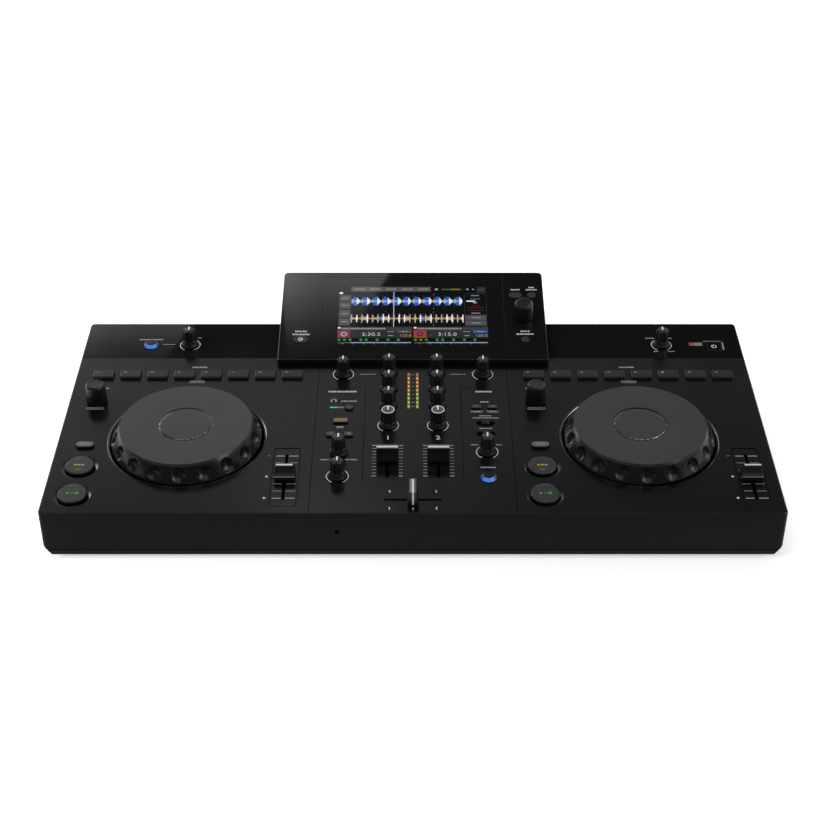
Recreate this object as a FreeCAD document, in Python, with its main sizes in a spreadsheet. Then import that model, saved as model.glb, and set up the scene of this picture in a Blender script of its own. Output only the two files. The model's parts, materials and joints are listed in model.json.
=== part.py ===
import FreeCAD, Part

import os
import re
from math import atan2

import Sketcher

# A two-deck music console with a raised touch display.
# Frame: +X to the player's right, +Y to the back, +Z up, origin at the middle of the footprint on the table.
# In the sizes below a "y" is measured back from the front edge of the case.

SIZES = {
    # case: a top shell over a base tray, standing on rubber feet
    "case_width": 650,
    "case_depth": 302,
    "case_height": 46.4,
    "case_corner": 4,
    "case_wall": 2.7,
    "plate_thick": 3.5,
    "foot_height": 5,
    "foot_radius": 12,
    "foot_inset_x": 44,
    "foot_inset_y": 32,
    "foot_seat": 1,
    "side_bevel_in": 7.2,
    "side_bevel_up": 9.2,
    "seam_height": 5.5,
    "seam_gap": 0.8,
    "tray_floor": 2,
    "lip_thick": 1.6,
    "lip_rise": 3,
    "lip_gap": 0.25,
    "edge_break": 0.8,
    "vent_length": 46,
    "vent_width": 3,
    "vent_pitch": 8,
    "vent_count": 7,
    # screws that hold the tray to posts under the top plate
    "post_radius": 4,
    "post_inset": 12,
    "post_inset_y": 12,
    "post_middle_x": 120,
    "screw_radius": 1.5,
    "screw_gap": 0.05,
    "screw_length": 16,
    "screw_head_radius": 3,
    "screw_head_height": 1.2,
    # gap round every moving piece, and between a knob and the plate
    "fit_gap": 0.35,
    "knob_lift": 0.8,
    # decks: left and right are the same layout, set apart from the middle
    "deck_x": 207.35,
    "jog_y": 109.5,
    "column_offset": 91.4,
    "tempo_offset": 93.4,
    # jog wheel
    "jog_skirt_radius": 68.8,
    "jog_skirt_drop": 2,
    "jog_shoulder_radius": 61.6,
    "jog_disc_radius": 60.2,
    "jog_height": 15.5,
    "jog_shoulder_drop": 1.9,
    "jog_wall": 6,
    "jog_ring_radius": 25,
    "jog_ring_width": 1.3,
    "jog_ring_depth": 0.7,
    "dimple_radius": 8.6,
    "dimple_depth": 3.5,
    "dimple_height": 7,
    "dimple_count": 18,
    "jog_hub_radius": 9,
    "jog_hub_drop": 5,
    "jog_bore_depth": 14,
    "spindle_radius": 4,
    "spindle_gap": 0.1,
    "spindle_flange_radius": 15,
    "spindle_flange_thick": 1.5,
    "pan_radius": 70.2,
    "pan_depth": 7,
    "pan_floor": 2,
    "pan_wall": 2.6,
    "pan_bevel": 2.6,
    # performance pads
    "pad_y": 209.1,
    "pad_pitch": 26,
    "pad_length": 19.5,
    "pad_depth": 11,
    "pad_height": 3,
    "pad_count": 8,
    # round transport buttons
    "cue_y": 65.6,
    "play_y": 25.2,
    "transport_radius": 12.7,
    "transport_height": 2.5,
    "transport_dish_drop": 2.2,
    "transport_dish_width": 3.4,
    # shift button
    "shift_y": 96.6,
    "shift_length": 16.5,
    "shift_depth": 7.8,
    "shift_height": 2.6,
    # loop encoder
    "loop_y": 167.4,
    "loop_radius": 9.7,
    "loop_top_radius": 7.4,
    "loop_height": 20,
    "loop_bevel": 2.4,
    "loop_taper": 0.7,
    "encoder_lift": 1.2,
    "encoder_shaft_radius": 3,
    "encoder_tip_radius": 2.4,
    "encoder_tip_length": 13,
    "encoder_gap": 0.06,
    # tempo slider
    "tempo_y": 51.7,
    "tempo_travel": 60,
    "tempo_base_width": 18.7,
    "tempo_top_width": 15,
    "tempo_length": 16.4,
    "tempo_base_height": 5.4,
    "tempo_ledge": 1.1,
    "tempo_height": 13.3,
    "tempo_panel_width": 24,
    "tempo_panel_length": 83.8,
    "tempo_panel_corner": 3,
    # channel faders and crossfader
    "channel_x": 23,
    "channel_fader_y": 75,
    "crossfader_y": 18.8,
    "fader_travel": 45,
    "fader_width": 19.6,
    "fader_length": 9.6,
    "fader_top_length": 6,
    "fader_height": 16,
    "fader_lift": 1.6,
    "fader_line_width": 2.8,
    "fader_line_depth": 0.3,
    "tongue_thick": 1.6,
    "tongue_length": 4,
    "slot_width": 2.6,
    "slot_end_gap": 0.55,
    # rotary knobs
    "side_x": 67.3,
    "trim_y": 211.8,
    "high_y": 215.2,
    "mid_y": 187.8,
    "low_y": 160.5,
    "filter_y": 128.8,
    "mix_y": 86.8,
    "level_y": 52.2,
    "depth_y": 88,
    "mic_x": 221,
    "master_x": 246.3,
    "strip_knob_y": 263,
    "slim_skirt_radius": 8.5,
    "slim_waist_radius": 6.5,
    "slim_top_radius": 5.7,
    "slim_waist_height": 6,
    "wide_skirt_radius": 8.6,
    "wide_waist_radius": 6.9,
    "wide_top_radius": 6,
    "wide_waist_height": 5,
    "skirt_thick": 1.6,
    "knob_height": 17.8,
    "knob_edge": 0.5,
    "flute_count": 6,
    "flute_depth": 0.8,
    "flute_radius": 4,
    "pointer_width": 1.3,
    "pointer_height": 0.7,
    "knob_shaft_radius": 3,
    # small buttons and switches of the mixer
    "pairing_x": 59.9,
    "pairing_y": 155.6,
    "pairing_radius": 3.9,
    "small_height": 2,
    "master_cue_y": 134.5,
    "master_cue_length": 13.9,
    "master_cue_depth": 7,
    "channel_cue_y": 113.5,
    "channel_cue_length": 8.4,
    "channel_cue_offset": 8.15,
    "beat_y": 156.3,
    "beat_length": 9,
    "beat_depth": 5,
    "beat_offset": 7.45,
    "select_y": 131.5,
    "select_channel_y": 114.6,
    "select_slot_length": 17.4,
    "select_slot_depth": 7.8,
    "select_cap_length": 7,
    "select_cap_depth": 5.6,
    "select_travel": 8,
    "select_rib_count": 3,
    "fx_on_y": 50,
    "lit_button_radius": 7.4,
    "lit_button_height": 3.4,
    "lit_slope_width": 2.4,
    "lit_slope_drop": 2.8,
    "source_x": 259.3,
    "source_y": 262.4,
    # glossy strip along the back with the power key
    "strip_y": 239.6,
    "strip_thick": 2.4,
    "strip_gap": 0.25,
    "power_x": 298.3,
    "power_y": 261.8,
    "power_size": 14.6,
    "power_height": -0.6,
    "lamp_x": 281.4,
    "lamp_length": 15.8,
    "lamp_depth": 6.6,
    "lamp_sink": 0.4,
    # shared button form
    "button_edge": 0.6,
    "flange_margin": 0.9,
    "flange_thick": 1,
    "stem_radius": 2,
    "button_travel": 1.2,
    "encoder_travel": 0.5,
    # display: a wedge whose face is tilted, standing over the back edge of the case
    "display_width": 264,
    "display_front": 228,
    "display_slope": 130.7,
    "display_tilt": 9.4,
    "display_lip": 6,
    "display_gap": 1,
    "display_edge": 9,
    "display_foot_back": 296,
    "display_corner": 5,
    "display_face": 3,
    "display_wall": 3,
    "display_hollow_back": 106,
    "plinth_inset": 7,
    "screen_width": 182,
    "screen_low": 8,
    "screen_high": 122.8,
    "screen_thick": 1.8,
    "screen_gap": 0.2,
    "browse_x": 110,
    "settings_x": 110.8,
    "browse_slope": 63,
    "browse_radius": 9.9,
    "browse_top_radius": 7.2,
    "browse_height": 18.8,
    "settings_slope": 28.6,
    "mixer_settings_length": 14.6,
    "mixer_settings_depth": 9.6,
    "deck_settings_radius": 4.1,
    "back_x": 103.6,
    "back_length": 13,
    "back_depth": 8.6,
    "tag_x": 120.2,
    "tag_radius": 4.3,
    "top_pair_slope": 94.6,
    "display_key_height": 0.8,
    "display_key_travel": 0.8,
    "display_board_drop": 7,
    "display_board_low": 19,
    "display_board_high": 104,
    "display_board_width": 241,
    "display_pot_height": 3.4,
    # boards and what is soldered on them
    "board_drop": 15,
    "board_thick": 1.6,
    "board_inset": 17,
    "board_y_low": 14,
    "board_y_high": 270,
    "board_split": 92,
    "board_gap": 2,
    "pot_size": 11,
    "pot_height": 6.5,
    "shaft_engage": 4.5,
    "switch_size": 6,
    "switch_height": 5,
    "key_switch_height": 1.5,
    "slide_unit_width": 11,
    "slide_unit_height": 7,
    "slide_unit_extra": 14,
    "track_width": 3,
    # sockets
    "headphone_x": 66.6,
    "headphone_drop": 20.9,
    "mini_bore_radius": 1.8,
    "mini_bore_length": 14,
    "mini_body_width": 10,
    "mini_body_depth": 15,
    "mini_body_height": 7.5,
    "jack_bore_radius": 3.2,
    "jack_bore_length": 26,
    "jack_body_size": 15,
    "jack_body_depth": 28,
    "jack_collar_radius": 4.6,
    "socket_drop": 22,
    "mic_socket_x": 221,
    "master_socket_x": 66,
    "master_socket_offset": 12,
    "wall_hole_gap": 0.8,
    "phono_radius": 4.15,
    "phono_length": 8,
    "phono_bore_radius": 1.6,
    "phono_offset": 9,
    "phono_flange_radius": 6,
    "phono_block_size": 14,
    "phono_block_depth": 12,
    "aux_socket_x": 165,
    "phono_out_x": 10,
    "usb_x": 158,
    "usb_offset": 14,
    "usb_width": 13.2,
    "usb_height": 5.7,
    "usb_depth": 18,
    "usb_shell": 0.6,
    "usb_tongue_thick": 1.9,
    "usb_small_x": 205,
    "usb_small_width": 9,
    "usb_small_height": 3.3,
    "usb_small_depth": 8,
    "dc_x": 296,
    "dc_bore_radius": 3.2,
    "dc_pin_radius": 1,
    "dc_body_size": 11,
    "dc_body_depth": 14,
    "dc_bore_depth": 9.5,
    # printed lines that are really shallow grooves
    "groove_width": 0.5,
    "groove_depth": 0.3,
    "mixer_line_x": 90.8,
    "mixer_line_low": 2.5,
    "mixer_line_high": 227,
    "bracket_x": 45.2,
    "bracket_outer_x": 82.5,
    "bracket_low": 40.6,
    "bracket_high": 188.8,
}

doc = FreeCAD.newDocument("Console")
sheet = doc.addObject("Spreadsheet::Sheet", "Sizes")
for line, (alias, value) in enumerate(SIZES.items(), start=1):
    sheet.set("A%d" % line, alias)
    sheet.set("B%d" % line, str(value))
    sheet.setAlias("B%d" % line, alias)
doc.recompute()

SKETCH_SHARE = 100
WORD = re.compile(r"\b[a-z][a-z0-9]*(?:_[a-z0-9]+)+\b")

# What several pieces share, worked out from the sizes above.
MIDDLE = "((display_front + display_slope * cos(display_tilt)) / 2)"
TOP = "(foot_height + case_height)"
STEM_DROP = "(board_drop - switch_height - button_travel - fit_gap)"
SHAFT_DROP = "(board_drop - pot_height + shaft_engage)"


def cells(expression):
    """The expression with every alias pointed at the sheet."""
    return WORD.sub(lambda found: "Sizes." + found.group(0), expression)


def number(expression):
    """The expression's present value in millimetres or degrees."""
    value = sheet.evalExpression(cells(expression))
    return float(getattr(value, "Value", value))


def bind(thing, place, expression):
    thing.setExpression(place, cells(expression))


class Outline:
    """Closed outlines on one plane of a body, kept until a feature sweeps them."""

    def __init__(self, plane, lift, depth=None):
        self.plane = plane
        self.lift = lift
        self.depth = depth
        self.loops = []

    def circle(self, x, y, radius):
        self.loops.append((x, y, radius))
        return self

    def shape(self, *corners):
        """A closed outline through (x, y) corners; a third value bends the run that follows:
        the arc's radius, and a fourth says on which side, +1 left or -1 right, its centre lies."""
        self.loops.append(corners)
        return self

    def box(self, x, y, width, depth, corner=None):
        """A rectangle about (x, y), with rounded corners where a corner radius is given."""
        left, right = "%s - (%s) / 2" % (x, width), "%s + (%s) / 2" % (x, width)
        low, high = "%s - (%s) / 2" % (y, depth), "%s + (%s) / 2" % (y, depth)
        if corner is None:
            return self.shape((left, low), (right, low), (right, high), (left, high))
        soft = "(%s)" % corner
        return self.shape(
            (left + " + " + soft, low),
            (right + " - " + soft, low, corner, 1),
            (right, low + " + " + soft),
            (right, high + " - " + soft, corner, 1),
            (right + " - " + soft, high),
            (left + " + " + soft, high, corner, 1),
            (left, high + " - " + soft),
            (left, low + " + " + soft, corner, 1),
        )

    def shares(self):
        """The outlines in groups that are small enough for a sketch to solve quickly."""
        group, load = [], 0
        for loop in self.loops:
            weight = 1 if isinstance(loop[0], str) else sum(len(corner) for corner in loop)
            if group and load + weight > SKETCH_SHARE:
                yield group
                group, load = [], 0
            group.append(loop)
            load += weight
        yield group


class Drawing:
    """One sketch on a body's own plane, each point dimensioned from the sheet."""

    def __init__(self, body, name, outline, loops):
        self.sketch = body.newObject("Sketcher::SketchObject", name)
        base = next(part for part in body.Origin.OriginFeatures if part.Role == outline.plane)
        self.sketch.AttachmentSupport = [(base, "")]
        self.sketch.MapMode = "FlatFace"
        if outline.lift:
            bind(self.sketch, "AttachmentOffset.Base.z", outline.lift)
        if outline.depth:
            self.tilt(outline.depth)
        self.lines = []
        self.rules = []
        self.bound = []
        for loop in loops:
            if isinstance(loop[0], str):
                self.circle(*loop)
            else:
                self.shape(loop)
        self.sketch.addGeometry(self.lines, False)
        self.sketch.addConstraint(self.rules)
        for index, expression in self.bound:
            bind(self.sketch, "Constraints[%d]" % index, expression)

    def tilt(self, depth):
        """Lays a board's sketch under the display, at a depth square to its tilted face."""
        turned = FreeCAD.Rotation(FreeCAD.Vector(1, 0, 0), number("display_tilt"))
        self.sketch.AttachmentOffset = FreeCAD.Placement(FreeCAD.Vector(), turned)
        bind(self.sketch, "AttachmentOffset.Rotation.Angle", "display_tilt")
        bind(self.sketch, "AttachmentOffset.Base.y",
             "display_front + (%s) * sin(display_tilt)" % depth)
        bind(self.sketch, "AttachmentOffset.Base.z",
             "board_drop + display_lip - (%s) * cos(display_tilt)" % depth)

    def line(self, geometry):
        self.lines.append(geometry)
        return len(self.lines) - 1

    def dimension(self, kind, places, expression):
        self.bound.append((len(self.rules), expression))
        self.rules.append(Sketcher.Constraint(kind, *places, number(expression)))

    def pin(self, line, end, x, y):
        self.dimension("DistanceX", (line, end), x)
        self.dimension("DistanceY", (line, end), y)

    def circle(self, x, y, radius):
        centre = FreeCAD.Vector(number(x), number(y), 0)
        index = self.line(Part.Circle(centre, FreeCAD.Vector(0, 0, 1), number(radius)))
        self.pin(index, 3, x, y)
        self.dimension("Radius", (index,), radius)

    def shape(self, corners):
        spots = [FreeCAD.Vector(number(corner[0]), number(corner[1]), 0) for corner in corners]
        count = len(corners)
        runs = []
        for at, corner in enumerate(corners):
            start, end = spots[at], spots[(at + 1) % count]
            if len(corner) > 2:
                runs.append(self.arc(start, end, corner[2], corner[3]))
            else:
                runs.append((self.line(Part.LineSegment(start, end)), 1, 2))
        for at in range(count):
            index, _, last = runs[at]
            follower, first, _ = runs[(at + 1) % count]
            self.rules.append(Sketcher.Constraint("Coincident", index, last, follower, first))
        for (index, first, _), corner in zip(runs, corners):
            self.pin(index, first, corner[0], corner[1])

    def arc(self, start, end, radius, side):
        size = number(radius)
        half = (end - start) * 0.5
        reach = max(size * size - half.Length ** 2, 0) ** 0.5
        across = FreeCAD.Vector(-half.y, half.x, 0).normalize() * side
        centre = start + half + across * reach
        ends = [atan2(spot.y - centre.y, spot.x - centre.x) for spot in (start, end)]
        circle = Part.Circle(centre, FreeCAD.Vector(0, 0, 1), size)
        index = self.line(Part.ArcOfCircle(circle, *ends[::side]))
        self.dimension("Radius", (index,), radius)
        return (index, 1, 2) if side > 0 else (index, 2, 1)


class Piece:
    """One separate piece of the console, as a body that is placed by bound sizes."""

    made = []

    def __init__(self, name, x="0", y="0", z="0"):
        self.name = name
        self.body = doc.addObject("PartDesign::Body", name)
        self.body.Label = name
        self.steps = 0
        bind(self.body, "Placement.Base.x", x)
        bind(self.body, "Placement.Base.y", "%s - %s" % (y, MIDDLE))
        bind(self.body, "Placement.Base.z", z)
        Piece.made.append(self)

    def outline(self, plane="XY_Plane", lift=None, depth=None):
        return Outline(plane, lift, depth)

    def feature(self, kind, word):
        self.steps += 1
        return self.body.newObject("PartDesign::" + kind, "%s_%s%d" % (self.name, word, self.steps))

    def volume(self):
        shape = self.body.Shape
        return 0 if shape.isNull() else shape.Volume

    def sweep(self, kind, word, outline, grows, settle):
        """One feature for each share of the outline; each must change the volume the right way."""
        for loops in outline.shares():
            self.steps += 1
            drawing = Drawing(self.body, "%s_outline%d" % (self.name, self.steps), outline, loops)
            before = self.volume()
            feature = self.feature(kind, word)
            feature.Profile = drawing.sketch
            settle(feature)
            doc.recompute()
            change = self.volume() - before
            if change <= 0 if grows else change >= 0:
                raise RuntimeError(feature.Name + " changed nothing")
        return feature

    def pad(self, outline, length, both=False, back=False):
        return self.sweep("Pad", "pad", outline, True, run_of(length, both, back))

    def pocket(self, outline, length, both=False, back=False):
        return self.sweep("Pocket", "pocket", outline, False, run_of(length, both, back))

    def turn(self, outline):
        return self.sweep("Revolution", "turning", outline, True, full_turn)

    def around(self, feature, count):
        """The feature repeated evenly about the body's upright axis."""
        before = self.volume()
        ring = self.feature("PolarPattern", "ring")
        axis = next(part for part in self.body.Origin.OriginFeatures if part.Role == "Z_Axis")
        ring.Originals = [feature]
        ring.Axis = (axis, [""])
        ring.Angle = 360
        bind(ring, "Occurrences", count)
        self.body.Tip = ring
        doc.recompute()
        if abs(self.volume() - before) < 1e-6:
            raise RuntimeError(ring.Name + " repeated nothing")
        return ring

    def ease(self, kind, size, chosen):
        """A fillet or chamfer of the given size on the edges that the test chooses."""
        last = self.body.Tip
        edges = ["Edge%d" % (at + 1) for at, edge in enumerate(last.Shape.Edges) if chosen(edge)]
        if not edges:
            raise RuntimeError(self.name + " has no such edge to ease")
        feature = self.feature(kind, kind.lower())
        feature.Base = (last, edges)
        bind(feature, "Radius" if kind == "Fillet" else "Size", size)
        doc.recompute()
        return feature

    def fillet(self, size, chosen):
        return self.ease("Fillet", size, chosen)

    def chamfer(self, size, chosen):
        return self.ease("Chamfer", size, chosen)


def run_of(length, both, back):
    """Sets how far a pad or pocket runs, and to which side of its sketch."""
    def settle(feature):
        bind(feature, "Length", length)
        feature.Midplane = both
        feature.Reversed = back
    return settle


def full_turn(feature):
    feature.ReferenceAxis = (feature.Profile[0], ["V_Axis"])
    feature.Angle = 360


def level(expression):
    """Chooses the edges that lie flat at one height of their body."""
    height = number(expression)
    return lambda edge: all(abs(spot.Z - height) < 1e-5 for spot in edge.Vertexes) and flat(edge)


def flat(edge):
    return edge.BoundBox.ZLength < 1e-5


def half_turned(half, x):
    """An x on the left half, -1, or the right half, +1."""
    return "(%d) * (%s)" % (half, x)


DECKS = (("left", -1), ("right", 1))


def deck(half, offset="0"):
    return "((%d) * deck_x + (%s))" % (half, offset)


def side_bevel(piece, low):
    """Cuts the slope along the lowest edge of both ends of the case."""
    for half in (-1, 1):
        wedge = piece.outline("XZ_Plane")
        toe = "(%d) * (case_width / 2 - side_bevel_in)" % half
        edge = "(%d) * (case_width / 2)" % half
        far = "(%d) * (case_width / 2 + side_bevel_in)" % half
        wedge.shape((toe, "0"), (far, low), (far, "side_bevel_up + 0.01"), (edge, "side_bevel_up"))
        piece.pocket(wedge, "case_depth")


# Where the tray is screwed to its posts.
POSTS = [
    (half_turned(half, "case_width / 2 - post_inset"), depth)
    for half in (-1, 1)
    for depth in ("post_inset_y", "case_depth / 2", "case_depth - post_inset_y")
]
POSTS += [(half_turned(half, "post_middle_x"), "case_depth - post_inset_y") for half in (-1, 1)]
POSTS += [(half_turned(half, "board_split"), "post_inset_y - 3") for half in (-1, 1)]

# The rotary knobs: name, x, y, and whether the knob is the slim or the wide kind.
KNOBS = []
for number_on_case, half in ((1, -1), (2, 1)):
    KNOBS.append(("trim_knob_%d" % number_on_case, half_turned(half, "side_x"), "trim_y", "slim"))
    for band in ("high", "mid", "low", "filter"):
        name = "%s_knob_%d" % (band, number_on_case)
        KNOBS.append((name, half_turned(half, "channel_x"), band + "_y", "wide"))
KNOBS += [
    ("headphone_mix_knob", "-side_x", "mix_y", "slim"),
    ("headphone_level_knob", "-side_x", "level_y", "slim"),
    ("fx_depth_knob", "side_x", "depth_y", "slim"),
    ("mic_level_knob", "-mic_x", "strip_knob_y", "slim"),
    ("master_level_knob", "master_x", "strip_knob_y", "slim"),
]

ENCODERS = [("loop", side, deck(half, "-column_offset"), "loop_y") for side, half in DECKS]

# Round buttons: name, x, y, radius, height above the plate, width and drop of the edge round the top.
ROUND_BUTTONS = []
for side, half in DECKS:
    column = deck(half, "-column_offset")
    for word in ("cue", "play"):
        button = (word + "_button_" + side, column, word + "_y", "transport_radius", "transport_height")
        ROUND_BUTTONS.append(button + ("button_edge", "button_edge"))
ROUND_BUTTONS += [
    ("pairing_button", "-pairing_x", "pairing_y", "pairing_radius", "small_height",
     "button_edge", "button_edge"),
    ("fx_on_button", "side_x", "fx_on_y", "lit_button_radius", "lit_button_height",
     "lit_slope_width", "lit_slope_drop"),
    ("source_button", "-source_x", "source_y", "lit_button_radius", "lit_button_height",
     "lit_slope_width", "lit_slope_drop"),
]

# Oblong buttons: name, list of x places, y, length, depth, height, corner radius.
PAD_SPOTS = [
    "pad_pitch * (%d - (pad_count - 1) / 2)" % at for at in range(int(round(number("pad_count"))))
]
OBLONG_BUTTONS = []
for side, half in DECKS:
    pads = [deck(half, spot) for spot in PAD_SPOTS]
    sizes = ("pad_y", "pad_length", "pad_depth", "pad_height", "0.8")
    OBLONG_BUTTONS.append(("hot_cue_pads_" + side, pads) + sizes)
    sizes = ("shift_y", "shift_length", "shift_depth", "shift_height", "(shift_depth / 2 - 0.01)")
    OBLONG_BUTTONS.append(("shift_button_" + side, [deck(half, "-column_offset")]) + sizes)
OBLONG_BUTTONS += [
    ("master_cue_button", ["-side_x"], "master_cue_y", "master_cue_length", "master_cue_depth",
     "small_height", "0.8"),
    ("channel_cue_buttons", ["-side_x - channel_cue_offset", "-side_x + channel_cue_offset"],
     "channel_cue_y", "channel_cue_length", "master_cue_depth", "small_height", "2"),
    ("beat_buttons", ["side_x - beat_offset", "side_x + beat_offset"],
     "beat_y", "beat_length", "beat_depth", "small_height", "1"),
    ("power_button", ["power_x"], "power_y", "power_size", "power_size", "power_height", "1"),
]

# Slide controls: name, x, y, travel, whether it runs across the console.
SLIDERS = [("tempo_slider_" + side, deck(half, "tempo_offset"), "tempo_y", "tempo_travel", False)
           for side, half in DECKS]
SLIDERS += [
    ("channel_fader_1", "-channel_x", "channel_fader_y", "fader_travel", False),
    ("channel_fader_2", "channel_x", "channel_fader_y", "fader_travel", False),
    ("crossfader", "0", "crossfader_y", "fader_travel", True),
]
SWITCHES = [("fx_select_switch", "select_y"), ("fx_channel_switch", "select_channel_y")]

SLOT_LENGTH = "(%s + tongue_length + 2 * slot_end_gap)"
SWITCH_SLOT = "(tongue_length + select_travel + 2 * slot_end_gap)"

# Sockets in the back wall: x and bore radius of each round hole.
JACKS = [
    "-mic_socket_x",
    "-master_socket_x - master_socket_offset",
    "-master_socket_x + master_socket_offset",
]
PHONOS = [
    block + sign + "phono_offset"
    for block in ("-aux_socket_x", "phono_out_x")
    for sign in (" - ", " + ")
]
USB_PORTS = ["usb_x - usb_offset", "usb_x + usb_offset"]
SOCKET_LINE = "(case_height - socket_drop)"


def make_top_case():
    case = Piece("top_case", z="foot_height")
    plan = ("0", "case_depth / 2", "case_width", "case_depth")
    case.pad(case.outline(lift="seam_height").box(*plan, corner="case_corner"), "case_height - seam_height")
    case.chamfer("edge_break", level("case_height"))
    side_bevel(case, "0")
    hollow_case(case)
    bosses = case.outline(lift="tray_floor")
    for x, y in POSTS:
        bosses.circle(x, y, "post_radius")
    case.pad(bosses, "case_height - plate_thick - tray_floor + 0.5")
    pilots = case.outline(lift="tray_floor")
    for x, y in POSTS:
        pilots.circle(x, y, "screw_radius + screw_gap")
    case.pocket(pilots, "screw_length + 1", back=True)
    seat_jogs(case)
    seat_strip(case)
    open_plate(case)
    open_walls(case)
    draw_grooves(case)
    return case


def hollow_case(case):
    """The inside follows the outside, a wall thinner all round, and is open downwards."""
    inside = case.outline("XZ_Plane", lift="-case_wall")
    half = "(case_width / 2 - case_wall)"
    low = "(case_width / 2 - case_wall - side_bevel_in * (1 - seam_height / side_bevel_up))"
    roof = "case_height - plate_thick"
    inside.shape(
        ("-" + low, "seam_height - 1"),
        (low, "seam_height - 1"),
        (low, "seam_height"),
        (half, "side_bevel_up"),
        (half, roof),
        ("-" + half, roof),
        ("-" + half, "side_bevel_up"),
        ("-" + low, "seam_height"),
    )
    case.pocket(inside, "case_depth - 2 * case_wall")


def seat_jogs(case):
    """A round pan hangs under the plate for each wheel, with a sloped rim round its mouth."""
    pans = case.outline(lift="case_height - pan_depth - pan_floor")
    for _, half in DECKS:
        pans.circle(deck(half), "jog_y", "pan_radius + pan_wall")
    case.pad(pans, "pan_depth + pan_floor - 0.5")
    wells = case.outline(lift="case_height")
    for _, half in DECKS:
        wells.circle(deck(half), "jog_y", "pan_radius")
    case.pocket(wells, "pan_depth")
    mouth = number("pan_radius")
    rim = level("case_height")
    case.chamfer("pan_bevel", lambda edge: rim(edge) and is_ring(edge, mouth))


def is_ring(edge, radius):
    return len(edge.Vertexes) == 1 and abs(edge.Length - 6.2831853 * radius) < 0.01 * radius


def seat_strip(case):
    """The rebate along the back that the glossy strip lies in."""
    rebate = case.outline(lift="case_height")
    rebate.box("0", "strip_y - strip_gap + case_depth / 2", "case_width + 2", "case_depth")
    case.pocket(rebate, "strip_thick")


def open_plate(case):
    """Holes for every control, a fit gap wider than what passes through."""
    through = "plate_thick + 1"
    holes = case.outline(lift="case_height")
    for _, x, y, _ in KNOBS:
        holes.circle(x, y, "knob_shaft_radius + fit_gap")
    for _, _, x, y in ENCODERS:
        holes.circle(x, y, "encoder_shaft_radius + fit_gap")
    for _, x, y, radius, _, _, _ in ROUND_BUTTONS:
        holes.circle(x, y, radius + " + fit_gap")
    case.pocket(holes, through)
    windows = case.outline(lift="case_height")
    for _, places, y, length, depth, _, corner in OBLONG_BUTTONS:
        for x in places:
            windows.box(x, y, length + " + 2 * fit_gap", depth + " + 2 * fit_gap", corner + " + fit_gap")
    case.pocket(windows, through)
    slots = case.outline(lift="case_height")
    for _, x, y, travel, across in SLIDERS:
        run = SLOT_LENGTH % travel
        slots.box(x, y, *((run, "slot_width") if across else ("slot_width", run)))
    for _, y in SWITCHES:
        slots.box("side_x", y, SWITCH_SLOT, "slot_width")
    case.pocket(slots, through)
    sunk = case.outline(lift="case_height")
    for side, half in DECKS:
        sunk.box(deck(half, "tempo_offset"), "tempo_y", "tempo_panel_width", "tempo_panel_length",
                 "tempo_panel_corner")
    case.pocket(sunk, "groove_depth")
    trays = case.outline(lift="case_height")
    for _, y in SWITCHES:
        trays.box("side_x", y, "select_slot_length", "select_slot_depth", "select_slot_depth / 2 - 0.01")
    case.pocket(trays, "plate_thick / 2")
    mouth = number("transport_radius + fit_gap")
    rim = level("case_height")
    dish = case.chamfer("transport_dish_drop", lambda edge: rim(edge) and is_ring(edge, mouth))
    dish.ChamferType = "Two distances"
    bind(dish, "Size", "transport_dish_width")
    bind(dish, "Size2", "transport_dish_drop")
    doc.recompute()
    lip = mouth + number("transport_dish_width")
    if not any(rim(edge) and is_ring(edge, lip) for edge in dish.Shape.Edges):
        raise RuntimeError("the dish round the transport buttons leans the wrong way")


def open_walls(case):
    """Holes in the front and back walls for the sockets behind them."""
    front = case.outline("XZ_Plane")
    front.circle("-headphone_x", "case_height - headphone_drop", "mini_bore_radius + wall_hole_gap")
    case.pocket(front, "case_wall + 1")
    back = case.outline("XZ_Plane", lift="-case_depth")
    for x in JACKS:
        back.circle(x, SOCKET_LINE, "jack_collar_radius + fit_gap")
    for x in PHONOS:
        back.circle(x, SOCKET_LINE, "phono_flange_radius")
    back.circle("dc_x", SOCKET_LINE, "dc_bore_radius + wall_hole_gap")
    for x in USB_PORTS:
        back.box(x, SOCKET_LINE, "usb_width + 2 * fit_gap", "usb_height + 2 * fit_gap")
    back.box("usb_small_x", SOCKET_LINE, "usb_small_width + 2 * fit_gap",
             "usb_small_height + 2 * fit_gap", "usb_small_height / 2")
    case.pocket(back, "case_wall + 1", back=True)


def draw_grooves(case):
    """The fine lines that part the mixer from the decks and frame its two side groups."""
    lines = case.outline(lift="case_height")
    run = "(mixer_line_high - mixer_line_low)"
    middle = "(mixer_line_high + mixer_line_low) / 2"
    for half in (-1, 1):
        lines.box(half_turned(half, "mixer_line_x"), middle, "groove_width", run)
        inner = half_turned(half, "bracket_x - groove_width / 2")
        outer = half_turned(half, "bracket_x + groove_width / 2")
        end = half_turned(half, "bracket_outer_x")
        lines.shape(
            (inner, "bracket_low"),
            (outer, "bracket_low"),
            (outer, "bracket_high - groove_width"),
            (end, "bracket_high - groove_width"),
            (end, "bracket_high"),
            (inner, "bracket_high"),
        )
    case.pocket(lines, "groove_depth")


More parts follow.
